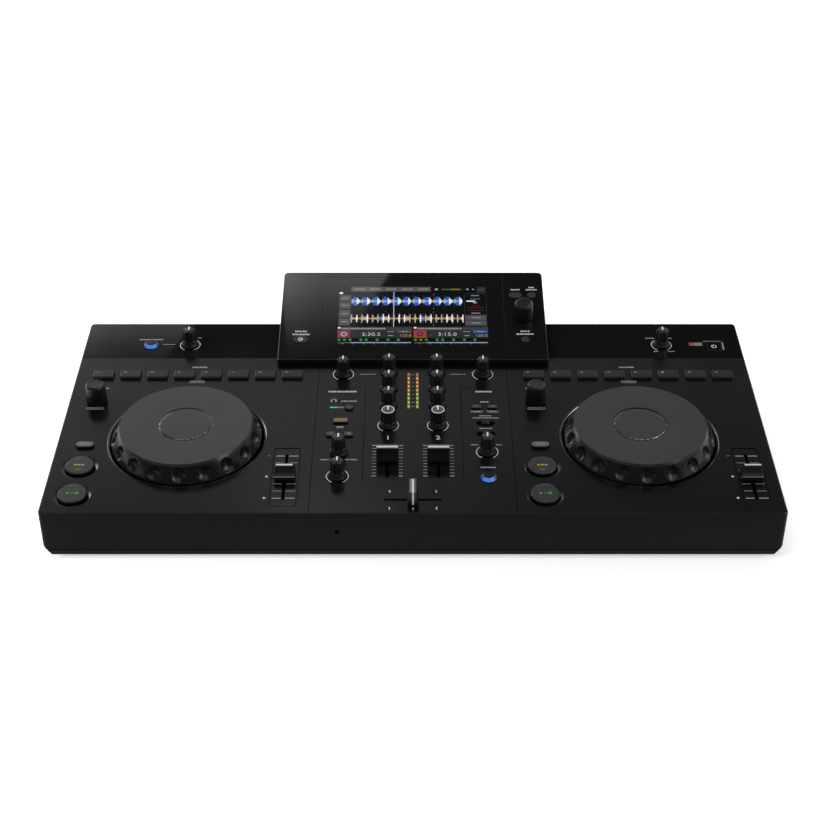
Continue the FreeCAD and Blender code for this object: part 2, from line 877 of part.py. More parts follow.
def make_base_tray():
    tray = Piece("base_tray", z="foot_height")
    plan = ("0", "case_depth / 2", "case_width", "case_depth")
    tray.pad(tray.outline().box(*plan, corner="case_corner"), "seam_height - seam_gap")
    side_bevel(tray, "0")
    inner = "(case_wall + lip_gap + lip_thick)"
    low = "side_bevel_in * (1 - seam_height / side_bevel_up)"
    lip_width = "(case_width - 2 * (%s + case_wall + lip_gap))" % low
    lip_depth = "(case_depth - 2 * (case_wall + lip_gap))"
    lip = tray.outline(lift="tray_floor")
    lip.box("0", "case_depth / 2", lip_width, lip_depth)
    tray.pad(lip, "seam_height + lip_rise - tray_floor")
    well = tray.outline(lift="seam_height + lip_rise")
    well.box("0", "case_depth / 2", lip_width + " - 2 * lip_thick", "case_depth - 2 * " + inner)
    tray.pocket(well, "seam_height + lip_rise - tray_floor")
    seats = tray.outline()
    for x, y in feet_spots():
        seats.circle(x, y, "foot_radius + lip_gap")
    tray.pocket(seats, "foot_seat", back=True)
    heads = tray.outline()
    shanks = tray.outline()
    for x, y in POSTS:
        heads.circle(x, y, "screw_head_radius + lip_gap")
        shanks.circle(x, y, "screw_radius + lip_gap")
    tray.pocket(heads, "screw_head_height", back=True)
    tray.pocket(shanks, "tray_floor", back=True)
    vents = tray.outline()
    for half in (-1, 1):
        for at in range(int(round(number("vent_count")))):
            y = "case_depth / 2 + vent_pitch * (%d - (vent_count - 1) / 2)" % at
            vents.box(half_turned(half, "deck_x"), y, "vent_length", "vent_width", "vent_width / 2 - 0.01")
    tray.pocket(vents, "tray_floor", back=True)
    return tray


def feet_spots():
    return [
        (half_turned(half, "case_width / 2 - foot_inset_x") if half else "0", y)
        for half in (-1, 0, 1)
        for y in ("foot_inset_y", "case_depth - foot_inset_y")
    ]


def make_rubber_feet():
    feet = Piece("rubber_feet")
    discs = feet.outline()
    for x, y in feet_spots():
        discs.circle(x, y, "foot_radius")
    feet.pad(discs, "foot_height + foot_seat")
    feet.chamfer("edge_break", level("0"))
    return feet


def make_case_screws():
    screws = Piece("case_screws", z="foot_height")
    shanks = screws.outline(lift="screw_head_height / 2")
    heads = screws.outline()
    for x, y in POSTS:
        shanks.circle(x, y, "screw_radius")
        heads.circle(x, y, "screw_head_radius")
    screws.pad(heads, "screw_head_height")
    screws.pad(shanks, "screw_length")
    return screws


def make_rear_strip():
    strip = Piece("rear_strip", z=TOP + " - strip_thick")
    plate = strip.outline()
    half = "(case_width / 2)"
    plate.shape(
        ("-" + half, "strip_y"),
        (half, "strip_y"),
        (half, "case_depth - case_corner", "case_corner", 1),
        (half + " - case_corner", "case_depth"),
        ("-" + half + " + case_corner", "case_depth", "case_corner", 1),
        ("-" + half, "case_depth - case_corner"),
    )
    strip.pad(plate, "strip_thick")
    front = number("strip_y")
    rim = level("strip_thick")
    strip.chamfer("edge_break", lambda edge: rim(edge) and edge.BoundBox.YMax > front + 1e-3)
    holes = strip.outline(lift="strip_thick")
    for x in ("-mic_x", "master_x"):
        holes.circle(x, "strip_knob_y", "knob_shaft_radius + fit_gap")
    holes.circle("-source_x", "source_y", "lit_button_radius + fit_gap")
    holes.box("power_x", "power_y", "power_size + 2 * fit_gap", "power_size + 2 * fit_gap", "1 + fit_gap")
    strip.pocket(holes, "strip_thick")
    lamp = strip.outline(lift="strip_thick")
    lamp.box("lamp_x - power_size / 8", "power_y + 3", "lamp_length - 1", "lamp_depth", "0.6")
    strip.pocket(lamp, "lamp_sink")
    reach = number("power_size / 2 + 2 * fit_gap")
    left = number("power_x - power_size / 2 - 2 * fit_gap")
    low = number("power_y - power_size / 2 - 2 * fit_gap")

    def frames_key(edge):
        box = edge.BoundBox
        inside = box.XMin > left and box.YMin > low and box.YMax < low + 2 * reach + 0.1
        return rim(edge) and inside and edge.BoundBox.XMax < left + 2 * reach + 0.1

    strip.chamfer("strip_thick * 0.8", frames_key)
    return strip


def make_jog_wheel(side, half):
    """The wheel: a flat disc with a ring line, and a sloped skirt scooped all round for the fingers."""
    wheel = Piece("jog_wheel_" + side, deck(half), "jog_y", TOP)
    section = wheel.outline("XZ_Plane")
    shoulder = "(jog_height - jog_shoulder_drop)"
    ceiling = "(jog_height - jog_wall)"
    section.shape(
        ("jog_hub_radius", "-jog_hub_drop"),
        ("jog_hub_radius", ceiling),
        ("jog_shoulder_radius - jog_wall", ceiling),
        ("jog_skirt_radius - jog_wall", "-jog_skirt_drop"),
        ("jog_skirt_radius", "-jog_skirt_drop"),
        ("jog_skirt_radius", "0", "jog_skirt_radius * 1.2", 1),
        ("jog_shoulder_radius", shoulder),
        ("jog_disc_radius", "jog_height"),
        ("jog_ring_radius + jog_ring_width", "jog_height"),
        ("jog_ring_radius + jog_ring_width / 2", "jog_height - jog_ring_depth"),
        ("jog_ring_radius", "jog_height"),
        ("0", "jog_height"),
        ("0", "jog_bore_depth - jog_hub_drop"),
        ("spindle_radius + spindle_gap", "jog_bore_depth - jog_hub_drop"),
        ("spindle_radius + spindle_gap", "-jog_hub_drop"),
    )
    wheel.turn(section)
    scoop = wheel.feature("SubtractiveSphere", "dimple")
    base = next(part for part in wheel.body.Origin.OriginFeatures if part.Role == "XY_Plane")
    scoop.AttachmentSupport = [(base, "")]
    scoop.MapMode = "FlatFace"
    bind(scoop, "Radius", "dimple_radius")
    reach = "((jog_skirt_radius + jog_shoulder_radius) / 2 + 0.4)"
    lean = "atan((jog_skirt_radius - jog_shoulder_radius) / %s)" % shoulder
    bind(scoop, "AttachmentOffset.Base.y",
         "-(%s + (dimple_radius - dimple_depth) * cos(%s))" % (reach, lean))
    bind(scoop, "AttachmentOffset.Base.z",
         "dimple_height + (dimple_radius - dimple_depth) * sin(%s)" % lean)
    before = wheel.volume()
    doc.recompute()
    if wheel.volume() >= before:
        raise RuntimeError(scoop.Name + " removed nothing")
    wheel.around(scoop, "dimple_count")
    return wheel


def make_jog_spindles():
    spindles = Piece("jog_spindles", z=TOP + " - pan_depth")
    flanges = spindles.outline()
    shafts = spindles.outline()
    for _, half in DECKS:
        flanges.circle(deck(half), "jog_y", "spindle_flange_radius")
        shafts.circle(deck(half), "jog_y", "spindle_radius")
    spindles.pad(flanges, "spindle_flange_thick")
    spindles.pad(shafts, "pan_depth + jog_bore_depth - jog_hub_drop - 1")
    return spindles


def make_knob(name, x, y, kind):
    """A fluted knob that narrows from its skirt, with a raised pointer and its shaft below."""
    knob = Piece(name, x, y, TOP)
    section = knob.outline("XZ_Plane")
    skirt, waist, top = (kind + word for word in ("_skirt_radius", "_waist_radius", "_top_radius"))
    waist_height = kind + "_waist_height"
    section.shape(
        ("0", "-" + SHAFT_DROP),
        ("knob_shaft_radius", "-" + SHAFT_DROP),
        ("knob_shaft_radius", "knob_lift"),
        (skirt, "knob_lift"),
        (skirt, "skirt_thick", waist_height + " * 1.6", -1),
        (waist, waist_height),
        (top, "knob_height - knob_edge"),
        (top + " - knob_edge", "knob_height"),
        ("0", "knob_height"),
    )
    knob.turn(section)
    flute = knob.outline(lift="knob_height")
    flute.circle("0", "-(%s + flute_radius - flute_depth)" % top, "flute_radius")
    grip = knob.pocket(flute, "knob_height - %s" % waist_height)
    knob.around(grip, "flute_count")
    pointer = knob.outline(lift="knob_height - knob_edge")
    pointer.box("0", "(%s - flute_depth) / 2 - 0.2" % top, "pointer_width", top + " - flute_depth")
    knob.pad(pointer, "pointer_height + knob_edge")
    return knob


def make_encoder(word, side, x, y):
    """A push shaft and the plain bevelled knob that turns on it."""
    shaft = Piece("%s_shaft_%s" % (word, side), x, y, TOP)
    section = shaft.outline("XZ_Plane")
    section.shape(
        ("0", "-%s + encoder_travel + fit_gap" % SHAFT_DROP),
        ("encoder_shaft_radius", "-%s + encoder_travel + fit_gap" % SHAFT_DROP),
        ("encoder_shaft_radius", "0"),
        ("encoder_tip_radius", "encoder_lift"),
        ("encoder_tip_radius", "encoder_lift + encoder_tip_length"),
        ("0", "encoder_lift + encoder_tip_length"),
    )
    shaft.turn(section)
    knob = Piece("%s_knob_%s" % (word, side), x, y, TOP)
    encoder_cap(knob, "loop_radius", "loop_top_radius", "loop_height")


def encoder_cap(knob, radius, top, height):
    section = knob.outline("XZ_Plane")
    section.shape(
        ("encoder_shaft_radius + fit_gap", "encoder_lift"),
        (radius, "encoder_lift"),
        (radius + " - loop_taper", height + " - loop_bevel"),
        (top, height),
        (top + " - 0.6", height),
        (top + " - 1.2", height + " - 0.6"),
        ("0", height + " - 0.6"),
        ("0", "encoder_lift + encoder_tip_length + fit_gap"),
        ("encoder_tip_radius + encoder_gap", "encoder_lift + encoder_tip_length + fit_gap"),
        ("encoder_tip_radius + encoder_gap", "encoder_lift + 2"),
        ("encoder_shaft_radius + fit_gap", "encoder_lift + 2"),
    )
    knob.turn(section)


def make_round_button(name, x, y, radius, height, edge_width, edge_drop):
    """A cap with a sloped edge, a retaining flange under the plate and a stem down to its switch."""
    button = Piece(name, x, y, TOP)
    section = button.outline("XZ_Plane")
    flange = "-(plate_thick + fit_gap)"
    section.shape(
        ("0", "-" + STEM_DROP),
        ("stem_radius", "-" + STEM_DROP),
        ("stem_radius", flange + " - flange_thick"),
        (radius + " + flange_margin", flange + " - flange_thick"),
        (radius + " + flange_margin", flange),
        (radius, flange),
        (radius, height + " - " + edge_drop),
        (radius + " - " + edge_width, height),
        ("0", height),
    )
    button.turn(section)
    return button


def make_oblong_buttons(name, places, y, length, depth, height, corner):
    """One or more oblong caps, each with its own flange and stem."""
    keys = Piece(name, "0", y, TOP)
    caps = keys.outline(lift="-(plate_thick + fit_gap)")
    flanges = keys.outline(lift="-(plate_thick + fit_gap)")
    stems = keys.outline(lift="-(plate_thick + fit_gap)")
    for x in places:
        caps.box(x, "0", length, depth, corner)
        flanges.box(x, "0", length + " + 2 * flange_margin", depth + " + 2 * flange_margin")
        stems.circle(x, "0", "stem_radius")
    keys.pad(caps, height + " + plate_thick + fit_gap")
    keys.pad(flanges, "flange_thick", back=True)
    keys.pad(stems, STEM_DROP + " - plate_thick - fit_gap", back=True)
    keys.fillet("button_edge", level(height))
    return keys


def make_tempo_slider(name, x):
    """A saddle-shaped cap: a ridge for the finger over a wider foot, on a thin tongue."""
    cap = Piece(name, x, "tempo_y", TOP)
    side = cap.outline("YZ_Plane")
    half = "(tempo_length / 2)"
    ridge = "(fader_line_width * 0.6)"
    side.shape(
        ("-" + half, "fader_lift"),
        (half, "fader_lift"),
        (half, "tempo_base_height"),
        (half + " - tempo_ledge", "tempo_base_height", "tempo_height * 1.1", -1),
        (ridge, "tempo_height"),
        ("-" + ridge, "tempo_height", "tempo_height * 1.1", -1),
        ("-(%s - tempo_ledge)" % half, "tempo_base_height"),
        ("-" + half, "tempo_base_height"),
    )
    cap.pad(side, "tempo_base_width", both=True)
    for hand in (-1, 1):
        slope = cap.outline("XZ_Plane")
        slope.shape(
            (half_turned(hand, "tempo_base_width / 2"), "tempo_base_height"),
            (half_turned(hand, "tempo_base_width / 2 + 1"), "tempo_base_height"),
            (half_turned(hand, "tempo_base_width / 2 + 1"), "tempo_height + 1"),
            (half_turned(hand, "tempo_top_width / 2"), "tempo_height + 1"),
            (half_turned(hand, "tempo_top_width / 2"), "tempo_height"),
        )
        cap.pocket(slope, "tempo_length", both=True)
    add_tongue(cap)
    return cap


def add_tongue(cap):
    tongue = cap.outline(lift="fader_lift")
    tongue.box("0", "0", "tongue_thick", "tongue_length")
    cap.pad(tongue, "board_drop - slide_unit_height / 2 + fader_lift", back=True)


def make_fader(name, x, y, across):
    """An upright cap with hollowed flanks and a sunk line across its top and down its ends."""
    cap = Piece(name, x, y, TOP)
    if across:
        cap.body.Placement = FreeCAD.Placement(
            FreeCAD.Vector(), FreeCAD.Rotation(FreeCAD.Vector(0, 0, 1), 90))
    side = cap.outline("YZ_Plane")
    half, top = "(fader_length / 2)", "(fader_top_length / 2)"
    side.shape(
        ("-" + half, "fader_lift"),
        (half, "fader_lift"),
        (half, "fader_lift + 2", "fader_height * 2", -1),
        (top, "fader_height"),
        ("-" + top, "fader_height", "fader_height * 2", -1),
        ("-" + half, "fader_lift + 2"),
    )
    cap.pad(side, "fader_width", both=True)
    stripe = cap.outline(lift="fader_height")
    stripe.box("0", "0", "fader_width + 1", "fader_line_width")
    cap.pocket(stripe, "fader_line_depth")
    add_tongue(cap)
    return cap


def make_switch(name, y):
    """A small ribbed slide switch."""
    cap = Piece(name, "side_x", y, TOP)
    body = cap.outline(lift="-plate_thick / 2 + fit_gap")
    body.box("0", "0", "select_cap_length", "select_cap_depth", "0.8")
    cap.pad(body, "plate_thick / 2 - fit_gap + small_height")
    ribs = cap.outline(lift="small_height")
    for at in range(int(round(number("select_rib_count")))):
        ribs.box("1.8 * (%d - (select_rib_count - 1) / 2)" % at, "0", "0.7", "select_cap_depth")
    cap.pocket(ribs, "0.5")
    tongue = cap.outline(lift="-plate_thick / 2 + fit_gap")
    tongue.box("0", "0", "tongue_length", "tongue_thick")
    cap.pad(tongue, "board_drop - slide_unit_height / 2 - plate_thick / 2 + fit_gap", back=True)
    return cap


# The display's own frame: x across, y up the slope of its face, z square to the face.
FACE_Z = "(%s + display_lip)" % TOP


class FacePiece(Piece):
    """A piece on the tilted face of the display: x across, slope up the face."""

    def __init__(self, name, x="0", slope="0"):
        super().__init__(name, x, "display_front + (%s) * cos(display_tilt)" % slope,
                         "%s + (%s) * sin(display_tilt)" % (FACE_Z, slope))
        tilt = FreeCAD.Rotation(FreeCAD.Vector(1, 0, 0), number("display_tilt"))
        self.body.Placement = FreeCAD.Placement(self.body.Placement.Base, tilt)
        bind(self.body, "Placement.Rotation.Angle", "display_tilt")


def on_case(y, z):
    """A spot y behind the display's front and z above the top plate, in the frame of its face."""
    rise = "(%s - display_lip)" % z
    return ("(%s) * cos(display_tilt) + %s * sin(display_tilt)" % (y, rise),
            "-(%s) * sin(display_tilt) + %s * cos(display_tilt)" % (y, rise))


def make_display_housing():
    housing = FacePiece("display_housing")
    foot = "(display_foot_back - display_front)"
    toe = on_case("0", "display_gap")
    heel = on_case(foot, "display_gap")
    brow = ("display_slope - display_edge * sin(display_tilt)", "-display_edge * cos(display_tilt)")
    side = housing.outline("YZ_Plane")
    side.shape(toe, heel, brow, ("display_slope", "0"), ("0", "0"))
    housing.pad(side, "display_width", both=True)
    reach = number("display_width / 2")
    far = number("display_slope")

    def top_corner(edge):
        box = edge.BoundBox
        return box.XLength < 1e-4 and abs(abs(box.XMin) - reach) < 1e-4 and box.YMin > far - 2

    housing.fillet("display_corner", top_corner)
    housing.fillet("edge_break", level("0"))
    plinth = housing.outline("YZ_Plane")
    plinth.shape(
        on_case("plinth_inset", "0"),
        on_case(foot + " - plinth_inset", "0"),
        on_case(foot + " - plinth_inset", "display_gap + 1"),
        on_case("plinth_inset", "display_gap + 1"),
    )
    housing.pad(plinth, "display_width - 2 * plinth_inset", both=True)
    hollow_housing(housing, foot)
    seat = housing.outline()
    slope = "(screen_low + screen_high) / 2"
    tall = "(screen_high - screen_low)"
    seat.box("0", slope, "screen_width + 2 * screen_gap", tall + " + 2 * screen_gap")
    housing.pocket(seat, "screen_thick")
    holes = housing.outline()
    holes.box("-settings_x", "settings_slope", "mixer_settings_length + 2 * fit_gap",
              "mixer_settings_depth + 2 * fit_gap", "mixer_settings_depth / 2")
    holes.box("back_x", "top_pair_slope", "back_length + 2 * fit_gap", "back_depth + 2 * fit_gap",
              "back_depth / 2")
    holes.circle("tag_x", "top_pair_slope", "tag_radius + fit_gap")
    holes.circle("settings_x", "settings_slope", "deck_settings_radius + fit_gap")
    holes.circle("browse_x", "browse_slope", "encoder_shaft_radius + fit_gap")
    housing.pocket(holes, "display_face + 0.5")
    return housing


def hollow_housing(housing, foot):
    """The wedge is hollow under its face and open where it stands on the case."""
    hollow = housing.outline("YZ_Plane")
    heel_y, heel_z = on_case(foot + " - display_wall", "display_gap + display_wall")
    low_y, low_z = on_case(foot + " - display_wall - plinth_inset", "-1")
    front_y, front_z = on_case("plinth_inset + display_wall", "-1")
    lean = "((display_edge - display_wall) / cos(display_tilt))"
    hollow.shape(
        (front_y, front_z),
        (low_y, low_z),
        on_case(foot + " - display_wall - plinth_inset", "display_gap + display_wall"),
        (heel_y, heel_z),
        ("display_hollow_back", "-display_face - " + lean),
        ("display_hollow_back", "-display_face"),
        (on_case("plinth_inset + display_wall", "0")[0], "-display_face"),
    )
    housing.pocket(hollow, "display_width - 2 * plinth_inset - 2 * display_wall", both=True)
    wings = housing.outline("YZ_Plane")
    wings.shape(
        on_case("display_board_low", "display_gap + display_wall"),
        (heel_y, heel_z),
        ("display_hollow_back", "-display_face - " + lean),
        ("display_hollow_back", "-display_face"),
        (on_case("display_board_low", "0")[0], "-display_face"),
    )
    housing.pocket(wings, "display_width - 2 * display_wall", both=True)


def make_touch_screen():
    screen = FacePiece("touch_screen")
    glass = screen.outline(lift="-screen_thick")
    glass.box("0", "(screen_low + screen_high) / 2", "screen_width", "screen_high - screen_low")
    screen.pad(glass, "screen_thick")
    return screen


def face_flange(key, outline_of):
    """The rim under the display's face that keeps a key in its hole."""
    rim = outline_of(key.outline(lift="-(display_face + fit_gap)"), "flange_margin")
    depth = "display_board_drop - key_switch_height - display_key_travel - fit_gap"
    key.pad(rim, depth + " - display_face - fit_gap", back=True)


def make_face_key(name, x, slope, outline_of):
    """A low key on the display; outline_of draws its outline, grown by a margin."""
    key = FacePiece(name, x, slope)
    cap = outline_of(key.outline(lift="-(display_face + fit_gap)"), "0 * fit_gap")
    key.pad(cap, "display_face + fit_gap + display_key_height")
    face_flange(key, outline_of)
    key.fillet("display_key_height / 2", level("display_key_height"))
    return key


def pill(length, depth):
    def draw(outline, margin):
        grown = "%s + 2 * (%s)" % (depth, margin)
        return outline.box("0", "0", "%s + 2 * (%s)" % (length, margin), grown, "(%s) / 2 - 0.01" % grown)
    return draw


def disc(radius):
    return lambda outline, margin: outline.circle("0", "0", "%s + %s" % (radius, margin))


def make_display_controls():
    make_face_key("mixer_settings_button", "-settings_x", "settings_slope",
                  pill("mixer_settings_length", "mixer_settings_depth"))
    make_face_key("back_button", "back_x", "top_pair_slope", pill("back_length", "back_depth"))
    make_face_key("tag_button", "tag_x", "top_pair_slope", disc("tag_radius"))
    make_face_key("deck_settings_button", "settings_x", "settings_slope", disc("deck_settings_radius"))
    shaft = FacePiece("browse_shaft", "browse_x", "browse_slope")
    section = shaft.outline("XZ_Plane")
    foot = "-(display_board_drop - encoder_travel - fit_gap)"
    section.shape(
        ("0", foot),
        ("encoder_shaft_radius", foot),
        ("encoder_shaft_radius", "0"),
        ("encoder_tip_radius", "encoder_lift"),
        ("encoder_tip_radius", "encoder_lift + encoder_tip_length"),
        ("0", "encoder_lift + encoder_tip_length"),
    )
    shaft.turn(section)
    knob = FacePiece("browse_knob", "browse_x", "browse_slope")
    encoder_cap(knob, "browse_radius", "browse_top_radius", "browse_height")


def make_control_board():
    """Three boards under the plate, with the pots, switches and slide units that the controls work,
    and one more inside the display."""
    boards = Piece("control_board", z=TOP + " - board_drop")
    plates = boards.outline()
    depth = "(board_y_high - board_y_low)"
    middle = "(board_y_high + board_y_low) / 2"
    plates.box("0", middle, "2 * (board_split - board_gap)", depth)
    for half in (-1, 1):
        x = half_turned(half, "(board_split + case_width / 2 - board_inset) / 2")
        plates.box(x, middle, "case_width / 2 - board_inset - board_split", depth)
    boards.pad(plates, "board_thick", back=True)
    pots = boards.outline()
    for _, x, y, _ in KNOBS:
        pots.box(x, y, "pot_size", "pot_size")
    for _, _, x, y in ENCODERS:
        pots.box(x, y, "pot_size", "pot_size")
    boards.pad(pots, "pot_height")
    switches = boards.outline()
    for _, x, y, _, _, _, _ in ROUND_BUTTONS:
        switches.box(x, y, "switch_size", "switch_size")
    for _, places, y, _, _, _, _ in OBLONG_BUTTONS:
        for x in places:
            switches.box(x, y, "switch_size", "switch_size")
    boards.pad(switches, "switch_height")
    units = boards.outline()
    tracks = boards.outline(lift="slide_unit_height")
    for _, x, y, travel, across in SLIDERS:
        run = "(%s + slide_unit_extra)" % travel
        gap = SLOT_LENGTH % travel
        units.box(x, y, *((run, "slide_unit_width") if across else ("slide_unit_width", run)))
        tracks.box(x, y, *((gap, "track_width") if across else ("track_width", gap)))
    for _, y in SWITCHES:
        units.box("side_x", y, SWITCH_SLOT + " + 4", "slide_unit_width")
        tracks.box("side_x", y, SWITCH_SLOT, "track_width")
    boards.pad(units, "slide_unit_height")
    boards.pocket(tracks, "slide_unit_height - 1")
    bores = boards.outline(lift="pot_height")
    for _, x, y, _ in KNOBS:
        bores.circle(x, y, "knob_shaft_radius + fit_gap")
    for _, _, x, y in ENCODERS:
        bores.circle(x, y, "encoder_shaft_radius + fit_gap")
    boards.pocket(bores, "shaft_engage + fit_gap")
    add_display_board(boards)
    return boards


def add_display_board(boards):
    """A fourth board, under the display's face, with its own switches and encoder."""
    plate = boards.outline(depth="display_board_drop")
    plate.box("0", "(display_board_low + display_board_high) / 2", "display_board_width",
              "display_board_high - display_board_low")
    boards.pad(plate, "board_thick", back=True)
    switches = boards.outline(depth="display_board_drop")
    for x, slope in (("-settings_x", "settings_slope"), ("settings_x", "settings_slope"),
                     ("back_x", "top_pair_slope"), ("tag_x - 3", "top_pair_slope")):
        switches.box(x, slope, "switch_size", "switch_size")
    boards.pad(switches, "key_switch_height")
    encoder = boards.outline(depth="display_board_drop")
    encoder.box("browse_x", "browse_slope", "pot_size", "pot_size")
    boards.pad(encoder, "display_pot_height")
    bore = boards.outline(depth="display_board_drop - display_pot_height")
    bore.circle("browse_x", "browse_slope", "encoder_shaft_radius + fit_gap")
    boards.pocket(bore, "display_pot_height")


def make_headphone_jack():
    jack = Piece("headphone_jack", "-headphone_x", "case_wall", TOP + " - headphone_drop")
    body = jack.outline("XZ_Plane")
    body.box("0", "0", "mini_body_width", "mini_body_height")
    jack.pad(body, "mini_body_depth", back=True)
    bore = jack.outline("XZ_Plane")
    bore.circle("0", "0", "mini_bore_radius")
    jack.pocket(bore, "mini_bore_length")
    return jack


def make_rear_sockets():
    """The sockets along the back wall, each a body of its own behind its hole."""
    rear = Piece("rear_sockets", "0", "case_depth - case_wall", TOP + " - socket_drop")
    bodies = rear.outline("XZ_Plane")
    collars = rear.outline("XZ_Plane")
    bores = rear.outline("XZ_Plane", lift="-case_wall")
    for x in JACKS:
        bodies.box(x, "0", "jack_body_size", "jack_body_size")
        collars.circle(x, "0", "jack_collar_radius")
        bores.circle(x, "0", "jack_bore_radius")
    rear.pad(bodies, "jack_body_depth")
    rear.pad(collars, "case_wall", back=True)
    rear.pocket(bores, "case_wall + jack_bore_length", back=True)
    blocks = rear.outline("XZ_Plane")
    barrels = rear.outline("XZ_Plane")
    centres = rear.outline("XZ_Plane", lift="-case_wall - phono_length")
    for x in PHONOS:
        blocks.box(x, "0", "phono_block_size", "phono_block_size")
        barrels.circle(x, "0", "phono_radius")
        centres.circle(x, "0", "phono_bore_radius")
    rear.pad(blocks, "phono_block_depth")
    rear.pad(barrels, "case_wall + phono_length", back=True)
    rear.pocket(centres, "phono_length + case_wall", back=True)
    ports = rear.outline("XZ_Plane", lift="-case_wall")
    mouths = rear.outline("XZ_Plane", lift="-case_wall")
    for x in USB_PORTS:
        ports.box(x, "0", "usb_width", "usb_height")
        mouths.box(x, "0", "usb_width - 2 * usb_shell", "usb_height - 2 * usb_shell")
    ports.box("usb_small_x", "0", "usb_small_width", "usb_small_height", "usb_small_height / 2 - 0.01")
    mouths.box("usb_small_x", "0", "usb_small_width - usb_shell", "usb_small_height - usb_shell",
               "(usb_small_height - usb_shell) / 2 - 0.01")
    rear.pad(ports, "usb_depth")
    rear.pocket(mouths, "usb_small_depth", back=True)
    tongues = rear.outline("XZ_Plane", lift="-case_wall")
    for x in USB_PORTS:
        tongues.box(x, "usb_height / 2 - usb_shell - usb_tongue_thick / 2 - 0.4",
                    "usb_width - 4 * usb_shell", "usb_tongue_thick")
    rear.pad(tongues, "usb_small_depth + 1")
    inlet = rear.outline("XZ_Plane")
    inlet.box("dc_x", "0", "dc_body_size", "dc_body_size")
    rear.pad(inlet, "dc_body_depth")
    well = rear.outline("XZ_Plane")
    well.circle("dc_x", "0", "dc_bore_radius")
    well.circle("dc_x", "0", "dc_pin_radius")
    rear.pocket(well, "dc_bore_depth", back=True)
    return rear


def make_all():
    make_top_case()
    make_base_tray()
    make_rubber_feet()
    make_case_screws()
    make_rear_strip()
    make_jog_spindles()
    make_control_board()
    make_headphone_jack()
    make_rear_sockets()
    make_display_housing()
    make_touch_screen()
    make_display_controls()
    for side, half in DECKS:
        make_jog_wheel(side, half)
        make_tempo_slider("tempo_slider_" + side, deck(half, "tempo_offset"))
    for knob in KNOBS:
        make_knob(*knob)
    for encoder in ENCODERS:
        make_encoder(*encoder)
    for button in ROUND_BUTTONS:
        make_round_button(*button)
    for keys in OBLONG_BUTTONS:
        make_oblong_buttons(*keys)
    for name, x, y, _, across in SLIDERS[2:]:
        make_fader(name, x, y, across)
    for name, y in SWITCHES:
        make_switch(name, y)


def check_all():
    for thing in doc.Objects:
        if "Invalid" in thing.State or "Error" in thing.State:
            raise RuntimeError(thing.Name + " failed")
    for piece in Piece.made:
        shape = piece.body.Shape
        if shape.isNull() or not shape.isValid() or not shape.Solids:
            raise RuntimeError(piece.name + " has no valid shape")


make_all()
doc.recompute()
check_all()
os.makedirs("parts", exist_ok=True)
for piece in Piece.made:
    piece.body.Shape.exportStep("parts/" + piece.name + ".step")
print(len(Piece.made), "pieces")
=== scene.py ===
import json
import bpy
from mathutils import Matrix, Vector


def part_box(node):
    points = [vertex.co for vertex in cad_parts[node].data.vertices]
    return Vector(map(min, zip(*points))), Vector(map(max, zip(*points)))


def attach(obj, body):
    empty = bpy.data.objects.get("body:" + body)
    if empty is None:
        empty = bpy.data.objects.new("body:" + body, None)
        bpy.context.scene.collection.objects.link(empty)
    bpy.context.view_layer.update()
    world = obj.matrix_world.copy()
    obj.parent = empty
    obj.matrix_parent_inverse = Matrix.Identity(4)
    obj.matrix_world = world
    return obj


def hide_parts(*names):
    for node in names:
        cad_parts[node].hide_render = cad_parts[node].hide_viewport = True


bl_info = {
    "name": "Two-deck console",
    "version": (1, 0, 0),
    "blender": (4, 5, 0),
    "location": "3D View > Sidebar > Console",
    "description": "Finishes, printed marks and lamps for a two-deck music console",
    "category": "Object",
}

from math import cos, hypot, pi, radians, sin

import bmesh
import bpy
from bpy.props import FloatProperty, FloatVectorProperty, PointerProperty
from mathutils import Matrix, Vector

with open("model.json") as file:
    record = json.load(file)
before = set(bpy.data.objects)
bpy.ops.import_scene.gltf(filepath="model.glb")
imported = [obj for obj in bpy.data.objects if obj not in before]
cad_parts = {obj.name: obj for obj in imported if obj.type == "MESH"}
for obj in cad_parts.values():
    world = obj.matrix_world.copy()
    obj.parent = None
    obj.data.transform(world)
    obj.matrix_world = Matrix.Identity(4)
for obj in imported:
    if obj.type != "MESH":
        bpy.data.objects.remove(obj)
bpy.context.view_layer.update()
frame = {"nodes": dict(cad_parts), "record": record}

# Places are given in millimetres: x across, y back from the case's front edge, z up from its top plate.
CASE_LOW, CASE_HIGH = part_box("top_case")
PLAN = Matrix.Translation((0, CASE_LOW.y, CASE_HIGH.z)) @ Matrix.Scale(0.001, 4)
# On the display y runs up its tilted face and z stands square to it.
DISPLAY_FOOT = Matrix.Translation((0, 228, 6))
DISPLAY_TILT = 9.4
FACE = PLAN @ DISPLAY_FOOT @ Matrix.Rotation(radians(DISPLAY_TILT), 4, "X")

# The decks by the middles of their jog wheels. The button column and the tempo slider stand beside those.
DECKS = (("left", -207.35), ("right", 207.35))
COLUMN = -91.4
TEMPO = 93.4
PAD_Y, PAD_PITCH, PAD_TOP = 211.2, 26, 3
LOOP_LABEL_Y = 155.2
JOG_Y, JOG_TOP = 109.5, 15.5
SHIFT_Y, CUE_Y, PLAY_Y = 96.6, 65.6, 25.2
ROUND_TOP, SHIFT_TOP = 2.5, 2.6
TEMPO_Y, TEMPO_TOP = 51.7, 13.3

# The mixer by its middle: the channels' columns, and the columns of small controls beyond them.
HALVES = (("1", -1), ("2", 1))
CHANNEL = 23
FLANK = 67.3
METER, METER_TOP, METER_PITCH = 4.1, 211.1, 6.6
TRIM_Y, FILTER_Y, KNOB_TOP = 211.8, 128.8, 17.75
BEAT, BEAT_Y = 7.45, 156.3
KEY_TOP = 2
FADER_Y, FADER_TOP = 75, 15.7
CROSSFADER_Y = 18.8

